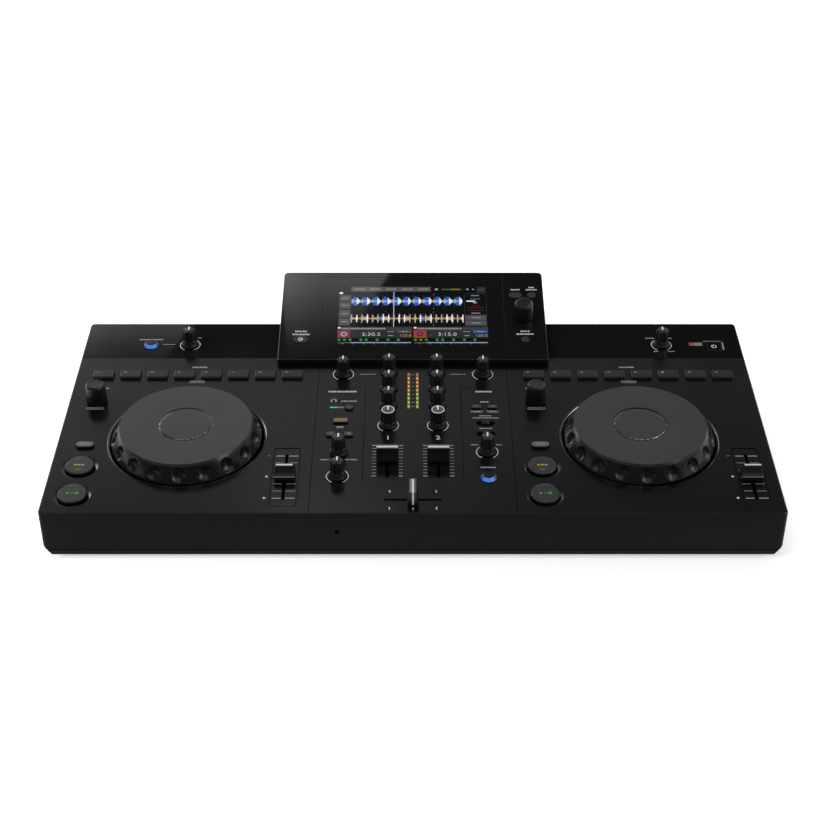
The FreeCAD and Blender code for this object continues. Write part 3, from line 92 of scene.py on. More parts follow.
# On the glossy strip: its knobs and the power key.
STRIP_KNOBS = (-221, 246.3)
STRIP_Y = 263
POWER, POWER_TOP = 298.3, -0.6
STRIP_TOP = -0.4

# On the display: the settings keys at its sides.
SETTINGS, SETTINGS_Y, SETTINGS_TOP = 110.8, 28.6, 0.8

# How far the foot of a mark or lamp is sunk into the surface it stands on.
SUNK = 0.05


def length_of(name, about, default):
    return FloatProperty(name=name, description=about, default=default, precision=5,
                         subtype="DISTANCE", unit="LENGTH")


def colour_of(name, about, default):
    return FloatVectorProperty(name=name, description=about, default=default, size=3, min=0, max=1,
                               subtype="COLOR")


class ConsoleSizes(bpy.types.PropertyGroup):
    print_height: length_of("Print height", "How far printed marks stand off the surface", 0.00006)
    print_line: length_of("Print line", "Width of the rings printed on the plate", 0.0008)
    heading_depth: length_of("Heading depth", "Depth of the dashes that stand in for a heading", 0.0023)
    label_depth: length_of("Label depth", "Depth of the dashes that stand in for worded labels", 0.0018)
    lamp_height: length_of("Lamp height", "How far the meter's lamps stand off the surface", 0.00025)
    bar_pitch: length_of("Bar pitch", "Distance between the bars of the tracks on the screen", 0.00052)
    camera_lens: FloatProperty(
        name="Lens", description="Focal length of the camera", default=72.59, subtype="DISTANCE_CAMERA")


class ConsoleColours(bpy.types.PropertyGroup):
    coat: colour_of("Coat", "Matt coat of the case", (0.0026, 0.0026, 0.0027))
    gloss: colour_of("Gloss", "Glossy strip and display housing", (0.005, 0.005, 0.0053))
    jog: colour_of("Jog disc", "Top of the jog wheels and round buttons", (0.036, 0.036, 0.037))
    moulding: colour_of("Moulding", "Knob bodies and caps", (0.0032, 0.0032, 0.0034))
    knob_top: colour_of("Knob top", "Tops of the rotary knobs", (0.017, 0.017, 0.0175))
    pad: colour_of("Pad", "Hot-cue pads", (0.0108, 0.0108, 0.011))
    ink: colour_of("Ink", "Bright printed marks", (0.50, 0.50, 0.50))
    faint_ink: colour_of("Faint ink", "Dim printed marks", (0.16, 0.16, 0.16))
    amber: colour_of("Amber", "Amber lamps", (1.0, 0.53, 0.03))
    green: colour_of("Green", "Green lamps", (0.05, 0.85, 0.07))
    red: colour_of("Red", "Red lamps", (0.85, 0.10, 0.08))
    teal: colour_of("Teal", "Teal lamp bar", (0.05, 0.62, 0.42))


def sizes():
    return bpy.context.scene.console_sizes


def mm(length):
    return length * 1000


def off_surface(height):
    """A height in millimetres, or that of print where none is given."""
    return mm(sizes().print_height) if height is None else height


class Mask:
    """A number that varies over a surface; sums on it add their Math nodes."""

    def __init__(self, nodes, socket):
        self.nodes = nodes
        self.socket = socket

    def sum(self, operation, *terms):
        node = self.nodes.node("ShaderNodeMath", {"operation": operation}, dict(enumerate(terms)))
        return Mask(self.nodes, node.outputs[0])

    def __add__(self, other):
        return self.sum("ADD", self, other)

    def __sub__(self, other):
        return self.sum("SUBTRACT", self, other)

    def __rsub__(self, other):
        return self.sum("SUBTRACT", other, self)

    def __mul__(self, other):
        return self.sum("MULTIPLY", self, other)

    def __gt__(self, other):
        return self.sum("GREATER_THAN", self, other)

    def __or__(self, other):
        return self.sum("MAXIMUM", self, other)

    __radd__ = __add__
    __rmul__ = __mul__


class Nodes:
    """A node tree, with one method that adds any node."""

    def __init__(self, tree):
        self.tree = tree

    def node(self, kind, settings=None, inputs=None):
        node = self.tree.nodes.new(kind)
        for name, value in (settings or {}).items():
            if name == "stops":
                self.set_stops(node.color_ramp, value)
            else:
                setattr(node, name, value)
        for name, value in (inputs or {}).items():
            self.feed(node.inputs[name], value)
        return node

    def set_stops(self, ramp, stops):
        for at, (position, colour) in enumerate(stops):
            stop = ramp.elements[at] if at < 2 else ramp.elements.new(position)
            stop.position = position
            stop.color = (*colour, 1)

    def feed(self, socket, value):
        if isinstance(value, Mask):
            self.tree.links.new(value.socket, socket)
        elif isinstance(value, bpy.types.NodeSocket):
            self.tree.links.new(value, socket)
        else:
            socket.default_value = value

    def rays(self, *kinds):
        """Masks of the rays that see a surface, such as Camera or Glossy."""
        path = self.node("ShaderNodeLightPath")
        return [Mask(self, path.outputs["Is %s Ray" % kind]) for kind in kinds]


class Finish(Nodes):
    """One material: a shader and the nodes that vary it over the surface."""

    def __init__(self, name, colour, roughness, shine=0.5, **settings):
        self.material = bpy.data.materials.new(name)
        self.material.use_nodes = True
        self.material.diffuse_color = (*colour[:3], 1)
        super().__init__(self.material.node_tree)
        self.shader = self.tree.nodes["Principled BSDF"]
        self.put("Base Color", (*colour[:3], 1))
        self.put("Roughness", roughness)
        self.put("Specular IOR Level", shine)
        for socket, value in settings.items():
            self.put(socket.replace("_", " "), value)

    def put(self, socket, value):
        self.feed(self.shader.inputs[socket], value)

    def place(self, stretch=(1, 1, 1)):
        spot = self.node("ShaderNodeTexCoord").outputs["Object"]
        if stretch == (1, 1, 1):
            return spot
        return self.node("ShaderNodeMapping", {}, {"Vector": spot, "Scale": stretch}).outputs[0]

    def noise(self, scale, detail=2.0, stretch=(1, 1, 1)):
        inputs = {"Vector": self.place(stretch), "Scale": scale, "Detail": detail, "Roughness": 0.55}
        node = self.node("ShaderNodeTexNoise", {}, inputs)
        return Mask(self, node.outputs["Fac"])

    def cells(self, scale, stretch=(1, 1, 1)):
        node = self.node("ShaderNodeTexVoronoi", {}, {"Vector": self.place(stretch), "Scale": scale})
        return Mask(self, node.outputs["Distance"])

    def mix(self, mask, first, second):
        inputs = {0: mask, 6: (*first[:3], 1), 7: (*second[:3], 1)}
        return self.node("ShaderNodeMix", {"data_type": "RGBA"}, inputs).outputs[2]

    def bump(self, height, distance):
        inputs = {"Height": height, "Distance": distance, "Strength": 1.0}
        self.put("Normal", self.node("ShaderNodeBump", {}, inputs).outputs[0])


def shade(colour, factor):
    return tuple(min(part * factor, 1) for part in colour[:3])


def listed(make):
    """Lets a finish be listed before it is made. Its colour is a grey, a colour or a property's name."""
    def entry(colour, *values, share=1.0, **settings):
        def make_now(name):
            full = colour
            if isinstance(colour, str):
                full = getattr(bpy.context.scene.console_colours, colour)
            if isinstance(colour, float):
                full = (colour, colour, colour)
            return make(name, shade(full, share), *values, **settings)
        return make_now
    return entry


@listed
def grained(name, colour, roughness, grain, depth, spread, **settings):
    """Moulded or coated stuff: a fine grain that dents it, and soft clouds in its shade and shine."""
    finish = Finish(name, colour, roughness, **settings)
    fine = finish.noise(grain, 3.0)
    cloud = finish.noise(14.0, 3.0)
    blend = fine * 0.6 + cloud * 0.4
    finish.put("Base Color", finish.mix(blend, shade(colour, 1 - spread), shade(colour, 1 + spread)))
    finish.put("Roughness", (cloud - 0.5) * 0.14 + (fine - 0.5) * 0.1 + roughness)
    finish.bump(fine, depth)
    return finish


@listed
def polished(name, colour, roughness, **settings):
    """Glossy stuff with a trace of dust and of wiping."""
    finish = Finish(name, colour, roughness, **settings)
    wipe = finish.noise(22.0, 4.0, (1, 0.25, 1))
    dust = finish.cells(420.0)
    specks = 1 - (dust > 0.09)
    finish.put("Base Color", finish.mix(wipe, shade(colour, 0.85), shade(colour, 1.2)))
    finish.put("Roughness", (wipe - 0.4) * 0.08 + specks * 0.12 + roughness)
    return finish


@listed
def printed(name, colour, roughness=0.55, **settings):
    """Ink with a slightly uneven cover."""
    finish = Finish(name, colour, roughness, **settings)
    cover = finish.noise(2600.0, 2.0)
    finish.put("Base Color", finish.mix(cover, shade(colour, 0.8), shade(colour, 1.15)))
    finish.put("Roughness", cover * 0.2 + (roughness - 0.1))
    return finish


@listed
def lit(name, colour, strength, roughness=0.35, body=0.12):
    """A lamp seen through a tinted lens, a little brighter in places."""
    finish = Finish(name, shade(colour, body), roughness)
    glow = finish.noise(900.0, 1.0)
    finish.put("Emission Color", finish.mix(glow, shade(colour, 0.8), colour))
    finish.put("Emission Strength", strength)
    return finish


@listed
def brushed(name, colour, roughness, stretch):
    """Turned or drawn metal with fine marks along one way."""
    finish = Finish(name, colour, roughness, Metallic=1.0)
    marks = finish.noise(700.0, 4.0, stretch)
    finish.put("Base Color", finish.mix(marks, shade(colour, 0.75), colour))
    finish.put("Roughness", marks * 0.2 + (roughness - 0.1))
    finish.bump(marks, 0.00001)
    return finish


@listed
def lacquered(name, colour, roughness, **settings):
    """Green lacquer over copper runs."""
    finish = Finish(name, colour, roughness, **settings)
    runs = finish.cells(160.0, (1, 3, 1)) > 0.45
    finish.put("Base Color", finish.mix(runs, shade(colour, 0.6), shade(colour, 1.3)))
    finish.bump(runs, 0.00003)
    return finish


# Grained: colour, roughness, grains to the metre, depth of the dents, spread of the shade.
# Lit: colour, strength, roughness, and the unlit body's shade. Others: colour and roughness.
FINISHES = {
    "coat": grained("coat", 0.2, 2300, 0.000008, 0.12),
    "wall coat": grained("coat", 0.5, 2300, 0.00003, 0.15, share=0.95, shine=0.1),
    "rim": grained(0.36, 0.18, 2300, 0.000004, 0.05, Metallic=1.0),
    "dish": grained(0.13, 0.2, 2300, 0.000004, 0.05, Metallic=1.0),
    "gloss": polished("gloss", 0.035, shine=0.45),
    "glass": polished("gloss", 0.03, share=0.9, shine=0.5),
    "jog disc": grained("jog", 0.25, 3000, 0.000006, 0.04),
    "jog shoulder": grained("jog", 0.22, 3000, 0.000004, 0.06, share=0.4),
    "jog skirt": grained("jog", 0.22, 3000, 0.000004, 0.06, share=0.13, shine=0.4),
    "ring line": grained(0.2, 0.24, 3000, 0.000002, 0.02, Metallic=1.0),
    "moulding": grained("moulding", 0.36, 3400, 0.00001, 0.2, share=1.6, shine=0.4),
    "satin": grained("moulding", 0.42, 3400, 0.000004, 0.2, share=1.7, shine=0.4),
    # Painted shade: a darker copy of the satin for the lower body of the loop knobs.
    "knob foot": grained("moulding", 0.5, 2600, 0.00002, 0.1, share=0.8, shine=0.25),
    "knob top": grained("knob_top", 0.36, 3400, 0.000006, 0.1, shine=0.35),
    "knob cap": grained("knob_top", 0.3, 3400, 0.000006, 0.06, share=3.6),
    "silver ring": printed((0.62, 0.62, 0.63), 0.3),
    "pad": grained("pad", 0.3, 2600, 0.00001, 0.12, shine=0.4),
    # Painted highlight: a lighter band on the upper sides of the pads, where their top rounds over.
    "pad edge": grained((0.035, 0.035, 0.036), 0.5, 2600, 0.00001, 0.1),
    "pad side": grained("moulding", 0.6, 2600, 0.00003, 0.14, share=0.6, shine=0.15),
    # Painted shade: near-black for the foot of the round buttons' sides.
    "key side": printed(0.0015, 0.6, shine=0.1),
    "button": grained("jog", 0.32, 2600, 0.00001, 0.08, share=0.7, shine=0.4),
    "tray": grained("coat", 0.55, 900, 0.00006, 0.25, share=1.8, shine=0.15),
    "foot": grained("coat", 0.85, 700, 0.00012, 0.3, share=2, shine=0.1),
    "well": grained(0.0025, 0.8, 900, 0.00004, 0.2, shine=0.06),
    "groove": printed(0.0012, 0.8, shine=0.05),
    "ink": printed("ink"),
    "label": printed("ink", share=0.62),
    "faint ink": printed("faint_ink"),
    "dark ink": printed("faint_ink", share=0.4),
    "pointer": printed("ink", 0.4, share=1.5),
    "cap line": printed("ink", 0.35, share=1.1),
    "steel": brushed((0.55, 0.55, 0.57), 0.3, (1, 1, 0.1)),
    "brass": brushed((0.75, 0.56, 0.25), 0.28, (1, 0.1, 1)),
    "board": lacquered((0.0025, 0.0045, 0.003), 0.5, shine=0.1),
    "lamp amber": lit("amber", 0.36),
    "lamp green": lit("green", 0.36),
    "lamp red": lit("red", 0.5),
    "lamp teal": lit("teal", 0.7),
    "ember": lit((0.15, 0.06, 0.035), 0.8, 0.4, 0.3),
    "amber lens": lit((0.13, 0.085, 0.025), 0.7, 0.4, 0.3),
    "amber dash": lit((0.25, 0.175, 0.07), 0.8, 0.4, 0.3),
    # Painted shade: the blue lit ring in dimmer copies, from its front slope round to its back one.
    "blue front": lit((0.075, 0.23, 0.70), 0.9, 0.3, 0.05),
    "blue half": lit((0.035, 0.10, 0.40), 0.9, 0.3, 0.05),
    "blue side": lit((0.016, 0.035, 0.18), 0.9, 0.3, 0.05),
    "blue back": lit((0.018, 0.014, 0.06), 0.9, 0.3, 0.05),
    "blue top": lit((0.002, 0.003, 0.006), 0.9, 0.2, 0.5),
    "glow brown": lit((0.26, 0.10, 0.02), 0.8, 0.4, 0.2),
    "glow olive": lit((0.15, 0.175, 0.012), 0.8, 0.4, 0.2),
    "core red": lit((0.42, 0.16, 0.10), 0.9),
    "core cream": lit((0.74, 0.44, 0.18), 0.95),
    "core lime": lit((0.52, 0.60, 0.12), 0.95),
    "pad olive": lit((0.16, 0.14, 0.06), 0.7),
    "pad orange": lit((0.36, 0.18, 0.06), 0.7),
    "pad lime": lit((0.24, 0.25, 0.05), 0.7),
    "pad white": lit((0.40, 0.40, 0.36), 0.7),
}

# The screen's own: colour, strength, and the unlit body's shade where it isn't the usual one.
VIEW_FINISHES = {
    "black": ((0.004, 0.004, 0.005), 0.5, 0.5),
    "dark": ((0.028, 0.028, 0.030), 0.8, 0.2),
    "dim": ((0.050, 0.050, 0.053), 0.8, 0.2),
    "grey": ((0.085, 0.085, 0.090), 0.8, 0.2),
    "light": ((0.30, 0.30, 0.31), 0.9, 0.2),
    "white": ((0.85, 0.86, 0.88), 1.0),
    "steel": ((0.03, 0.10, 0.20), 0.9),
    "pale": ((0.60, 0.62, 0.68), 0.9),
    "blue": ((0.035, 0.12, 0.50), 0.95),
    "sky": ((0.20, 0.40, 0.78), 0.95),
    "orange": ((0.48, 0.25, 0.10), 0.9),
    "cream": ((0.58, 0.45, 0.30), 0.9),
    "red": ((0.45, 0.06, 0.03), 0.8),
    "rust": ((0.13, 0.018, 0.015), 0.8),
    "leaf": ((0.035, 0.33, 0.04), 0.8),
    "moss": ((0.025, 0.12, 0.03), 0.9),
    "olive": ((0.19, 0.16, 0.02), 0.9),
    "plum": ((0.25, 0.03, 0.09), 0.9),
    "navy": ((0.02, 0.02, 0.10), 0.9),
}
for name, (colour, strength, *body) in VIEW_FINISHES.items():
    FINISHES["view " + name] = lit(colour, strength, 0.06, *(body or (0.1,)))


def finish_of(name):
    """The material of that name, made the first time it is asked for."""
    label = "console " + name
    return bpy.data.materials.get(label) or FINISHES[name](label).material


def standing(x, y, height, lift):
    """The middle of a solid with its foot a little below the lift and its top a height above it."""
    return Matrix.Translation((x, y, lift + (height - SUNK) / 2))


def modify(piece, name, kind, **settings):
    """A modifier with its settings."""
    modifier = piece.modifiers.new(name, kind)
    for setting, value in settings.items():
        setattr(modifier, setting, value)


class Piece:
    """A shape in millimetres, with the finishes of its faces, that becomes one object on a body."""

    def __init__(self, name, body="console", where=PLAN):
        self.name = name
        self.body = body
        self.where = where
        self.shape = bmesh.new()
        self.finishes = []

    def slot(self, finish):
        if finish not in self.finishes:
            self.finishes.append(finish)
        return self.finishes.index(finish)

    def paint(self, finish, verts):
        slot = self.slot(finish)
        for face in {face for vert in verts for face in vert.link_faces}:
            face.material_index = slot
        return verts

    def block(self, finish, x, y, width, depth, height=None, lift=0.0, turn=0.0):
        """A box with its middle at a place, turned about its upright."""
        height = off_surface(height)
        place = standing(x, y, height, lift) @ Matrix.Rotation(turn, 4, "Z")
        size = Matrix.Diagonal((width, depth, height + SUNK, 1))
        made = bmesh.ops.create_cube(self.shape, size=1, matrix=place @ size)
        return self.paint(finish, made["verts"])

    def area(self, finish, left, right, low, high, height=None):
        """A box given by its edges."""
        self.block(finish, (left + right) / 2, (low + high) / 2, right - left, high - low, height)

    def disc(self, finish, x, y, radius, height=None, lift=0.0, segments=28, turn=0.0):
        height = off_surface(height)
        place = standing(x, y, height, lift) @ Matrix.Rotation(turn, 4, "Z")
        made = bmesh.ops.create_cone(
            self.shape, cap_ends=True, segments=segments, radius1=radius, radius2=radius, matrix=place,
            depth=height + SUNK)
        return self.paint(finish, made["verts"])

    def ring(self, finish, x, y, radius, width, height=None, lift=0.0, start=0.0, sweep=360.0, steps=48):
        """A flat band round a centre, from a start angle, open unless its sweep is a full turn."""
        height = off_surface(height)
        turn = Matrix.Translation((x, y, 0)) @ Matrix.Rotation(radians(start), 4, "Z")
        upright = standing(radius, 0, height, lift) @ Matrix.Rotation(pi / 2, 4, "X")
        size = Matrix.Diagonal((width, height + SUNK, 1, 1))
        made = bmesh.ops.create_grid(
            self.shape, x_segments=1, y_segments=1, size=0.5, matrix=turn @ upright @ size)
        full = sweep == 360.0
        section = {face for vert in made["verts"] for face in vert.link_faces}
        edges = {edge for face in section for edge in face.edges}
        geometry = list(edges) if full else list(section) + list(edges) + made["verts"]
        before = set(self.shape.verts) - set(made["verts"])
        if full:
            bmesh.ops.delete(self.shape, geom=list(section), context="FACES_ONLY")
        bmesh.ops.spin(
            self.shape, geom=geometry, cent=(x, y, 0), axis=(0, 0, 1), dvec=(0, 0, 0),
            angle=radians(sweep), steps=steps, use_merge=full, use_duplicate=False)
        return self.paint(finish, [vert for vert in self.shape.verts if vert not in before])

    def pill(self, finish, x, y, length, depth, height=None, lift=0.0, line=None):
        """A solid with round ends, or only a line round its edge."""
        corners = 20
        place = Matrix.Translation((x, y, lift - SUNK)) @ Matrix.Rotation(pi / corners, 4, "Z")
        made = bmesh.ops.create_circle(
            self.shape, cap_ends=True, segments=corners, radius=depth / 2, matrix=place)
        for side in (-1, 1):
            half = [vert for vert in made["verts"] if (vert.co.x - x) * side > 0]
            bmesh.ops.translate(self.shape, verts=half, vec=(side * (length - depth) / 2, 0, 0))
        faces = list({face for vert in made["verts"] for face in vert.link_faces})
        if line:
            rim = bmesh.ops.inset_region(
                self.shape, faces=faces, thickness=line, use_boundary=True, use_even_offset=True)
            bmesh.ops.delete(self.shape, geom=faces, context="FACES")
            faces = rim["faces"]
        pulled = bmesh.ops.extrude_face_region(self.shape, geom=faces)
        tops = [item for item in pulled["geom"] if isinstance(item, bmesh.types.BMVert)]
        bmesh.ops.translate(self.shape, verts=tops, vec=(0, 0, off_surface(height) + SUNK))
        verts = {vert for face in faces for vert in face.verts} | set(tops)
        return self.paint(finish, list(verts))

    def words(self, finish, x, y, length, depth=None, lift=0.0):
        """A row of short upright dashes where a label stands, with runs and gaps in shares of its depth."""
        depth = mm(sizes().label_depth) if depth is None else depth
        runs = [share * depth for share in (0.62, 0.44, 0.62, 0.55, 0.22, 0.62, 0.5)]
        gap = 0.26 * depth
        at, dashes = 0.0, []
        while at < length - min(runs):
            run = min(runs[len(dashes) % len(runs)], length - at)
            dashes.append((at + run / 2, run))
            at += run + gap
        shift = (at - gap) / 2
        for middle, run in dashes:
            self.block(finish, x + middle - shift, y, run, depth, lift=lift)

    def tag(self, x, y, size, line, finish, words, height=None, lift=0.0):
        """A row of dashes in a line with round ends."""
        self.pill("label", x, y, *size, height, lift, line)
        self.words(finish, x, y, *words, lift)

    def figures(self, finish, x, y, text, size, height=None, lift=0.0, spacing=1, stretch=1, weight=0.0):
        """Plain figures, centred on a spot."""
        height = off_surface(height)
        curve = bpy.data.curves.new(self.name + "_figures", "FONT")
        curve.body = text
        curve.size = size
        curve.align_x = "CENTER"
        curve.align_y = "CENTER"
        curve.space_character = spacing
        curve.resolution_u = 3
        curve.extrude = (height + SUNK) / 2
        curve.offset = weight
        holder = bpy.data.objects.new(self.name + "_figures", curve)
        mesh = bpy.data.meshes.new_from_object(holder)
        before = set(self.shape.verts)
        self.shape.from_mesh(mesh)
        verts = [vert for vert in self.shape.verts if vert not in before]
        bmesh.ops.remove_doubles(self.shape, verts=verts, dist=1e-4)
        verts = [vert for vert in self.shape.verts if vert not in before]
        bmesh.ops.scale(self.shape, verts=verts, vec=(stretch, 1, 1))
        bmesh.ops.transform(self.shape, verts=verts, matrix=standing(x, y, height, lift))
        bpy.data.objects.remove(holder)
        bpy.data.curves.remove(curve)
        bpy.data.meshes.remove(mesh)
        return self.paint(finish, verts)

    def done(self, smooth=None, edge=None, stands_for=(), mend=True):
        """The finished object, riding on its body, in place of the CAD nodes it stands for."""
        bmesh.ops.transform(self.shape, matrix=self.where, verts=self.shape.verts)
        if mend:
            bmesh.ops.recalc_face_normals(self.shape, faces=self.shape.faces)
        mesh = bpy.data.meshes.new(self.name)
        self.shape.to_mesh(mesh)
        self.shape.free()
        for finish in self.finishes:
            mesh.materials.append(finish_of(finish))
        piece = bpy.data.objects.new(self.name, mesh)
        bpy.context.scene.collection.objects.link(piece)
        if edge:
            modify(piece, "edge", "BEVEL", width=edge / 1000, segments=2, limit_method="ANGLE",
                   angle_limit=radians(35), use_clamp_overlap=True, harden_normals=False)
        if smooth:
            mesh.shade_smooth()
            mesh.set_sharp_from_angle(angle=radians(smooth))
            modify(piece, "flat faces", "WEIGHTED_NORMAL", mode="FACE_AREA", keep_sharp=True)
        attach(piece, self.body)
        if stands_for:
            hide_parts(*stands_for)


def body_of(node):
    for body, nodes in frame["record"]["behaviour"]["bodies"].items():
        if node in nodes:
            return body
    raise RuntimeError(node + " is on no body")


def welded(node, paint, where=PLAN, smooth=30.0, edge=None, flatten=False, extra=None, cut=None):
    """A welded copy of a CAD node, split at the height of a cut, with paint(spot, normal) for each face."""
    piece = Piece(node + "_shell", body_of(node), where)
    piece.shape.from_mesh(frame["nodes"][node].data)
    bmesh.ops.transform(piece.shape, matrix=where.inverted(), verts=piece.shape.verts)
    bmesh.ops.remove_doubles(piece.shape, verts=piece.shape.verts, dist=0.002)
    if flatten:
        bmesh.ops.dissolve_limit(
            piece.shape, angle_limit=radians(0.6), use_dissolve_boundaries=False,
            verts=piece.shape.verts, edges=piece.shape.edges)
    if cut:
        every = [*piece.shape.verts, *piece.shape.edges, *piece.shape.faces]
        bmesh.ops.bisect_plane(
            piece.shape, geom=every, dist=1e-5, plane_co=(0, 0, cut), plane_no=(0, 0, 1))
    piece.shape.normal_update()
    for face in piece.shape.faces:
        face.material_index = piece.slot(paint(face.calc_center_median(), face.normal))
    if extra:
        extra(piece)
    piece.done(smooth, edge, (node,), mend=False)


def dress(node, finish):
    """A CAD node that keeps its own shape gets its finish."""
    thing = frame["nodes"][node]
    thing.data.materials.clear()
    thing.data.materials.append(finish_of(finish))


def all_over(finish):
    """The paint of a node with one finish."""
    return lambda spot, normal: finish


def above(height, top, rest, level=-2):
    """The paint of a node whose faces above a height have another finish, if they turn up past a level."""
    return lambda spot, normal: top if spot.z > height and normal.z > level else rest


def set_round(vert, x, y, radius, height):
    """Moves a vertex straight out to a radius from a middle, and to a height."""
    growth = radius / hypot(vert.co.x - x, vert.co.y - y)
    vert.co = (x + (vert.co.x - x) * growth, y + (vert.co.y - y) * growth, height)


class CONSOLE_OT_case(bpy.types.Operator):
    """Case top, base tray, glossy strip, feet and screws"""

    bl_idname = "console.case"
    bl_label = "Case"

    # Round recesses by their place on a deck, reach and finish, then the radius and height of the lower
    # edge of their slope in the CAD and here.
    RECESSES = (
        (0, JOG_Y, 74, "rim", (70.2, -2.6), (69.3, -1.3)),
        (COLUMN, CUE_Y, 17, "dish", (13, -2.2), (13.1, -1.1)),
        (COLUMN, PLAY_Y, 17, "dish", (13, -2.2), (13.1, -1.1)),
    )

    def execute(self, context):
        welded("top_case", self.case_finish, smooth=28, flatten=True, extra=self.ease_rims)
        welded("rear_strip", all_over("gloss"), smooth=28, flatten=True)
        dress("base_tray", "tray")
        dress("rubber_feet", "foot")
        dress("case_screws", "steel")
        dress("jog_spindles", "steel")
        dress("control_board", "board")
        return {"FINISHED"}

    def recesses(self):
        return [(deck + x, *rest) for _, deck in DECKS for x, *rest in self.RECESSES]

    def ease_rims(self, piece):
        """Shallower slopes round the jog wheels and the transport buttons, which catch the light."""
        recesses = self.recesses()
        for vert in piece.shape.verts:
            for x, y, _, _, (radius, height), eased in recesses:
                out = hypot(vert.co.x - x, vert.co.y - y)
                if abs(vert.co.z - height) < 0.05 and abs(out - radius) < 0.3:
                    set_round(vert, x, y, *eased)

    def case_finish(self, spot, normal):
        """Coat outside, bright slopes in the recesses, and a dark finish inside and in the openings."""
        if spot.z > -0.25:
            return "coat"
        if normal.z > 0.3 and spot.z > -2.7:
            for x, y, reach, finish, *_ in self.recesses():
                if hypot(spot.x - x, spot.y - y) < reach:
                    return finish
        if normal.z > 0.3 and spot.z > -0.35:
            panels = (abs(spot.x - x - TEMPO) < 12 for _, x in DECKS)
            return "coat" if any(panels) else "well"
        within_walls = 3 < spot.y < 299
        if within_walls and spot.z < -3.6 and abs(spot.x) < 322:
            return "well"
        if within_walls and spot.z > -4 and abs(spot.x) < 324 and abs(normal.z) < 0.3:
            return "well"
        return "wall coat" if normal.z < 0.5 else "coat"


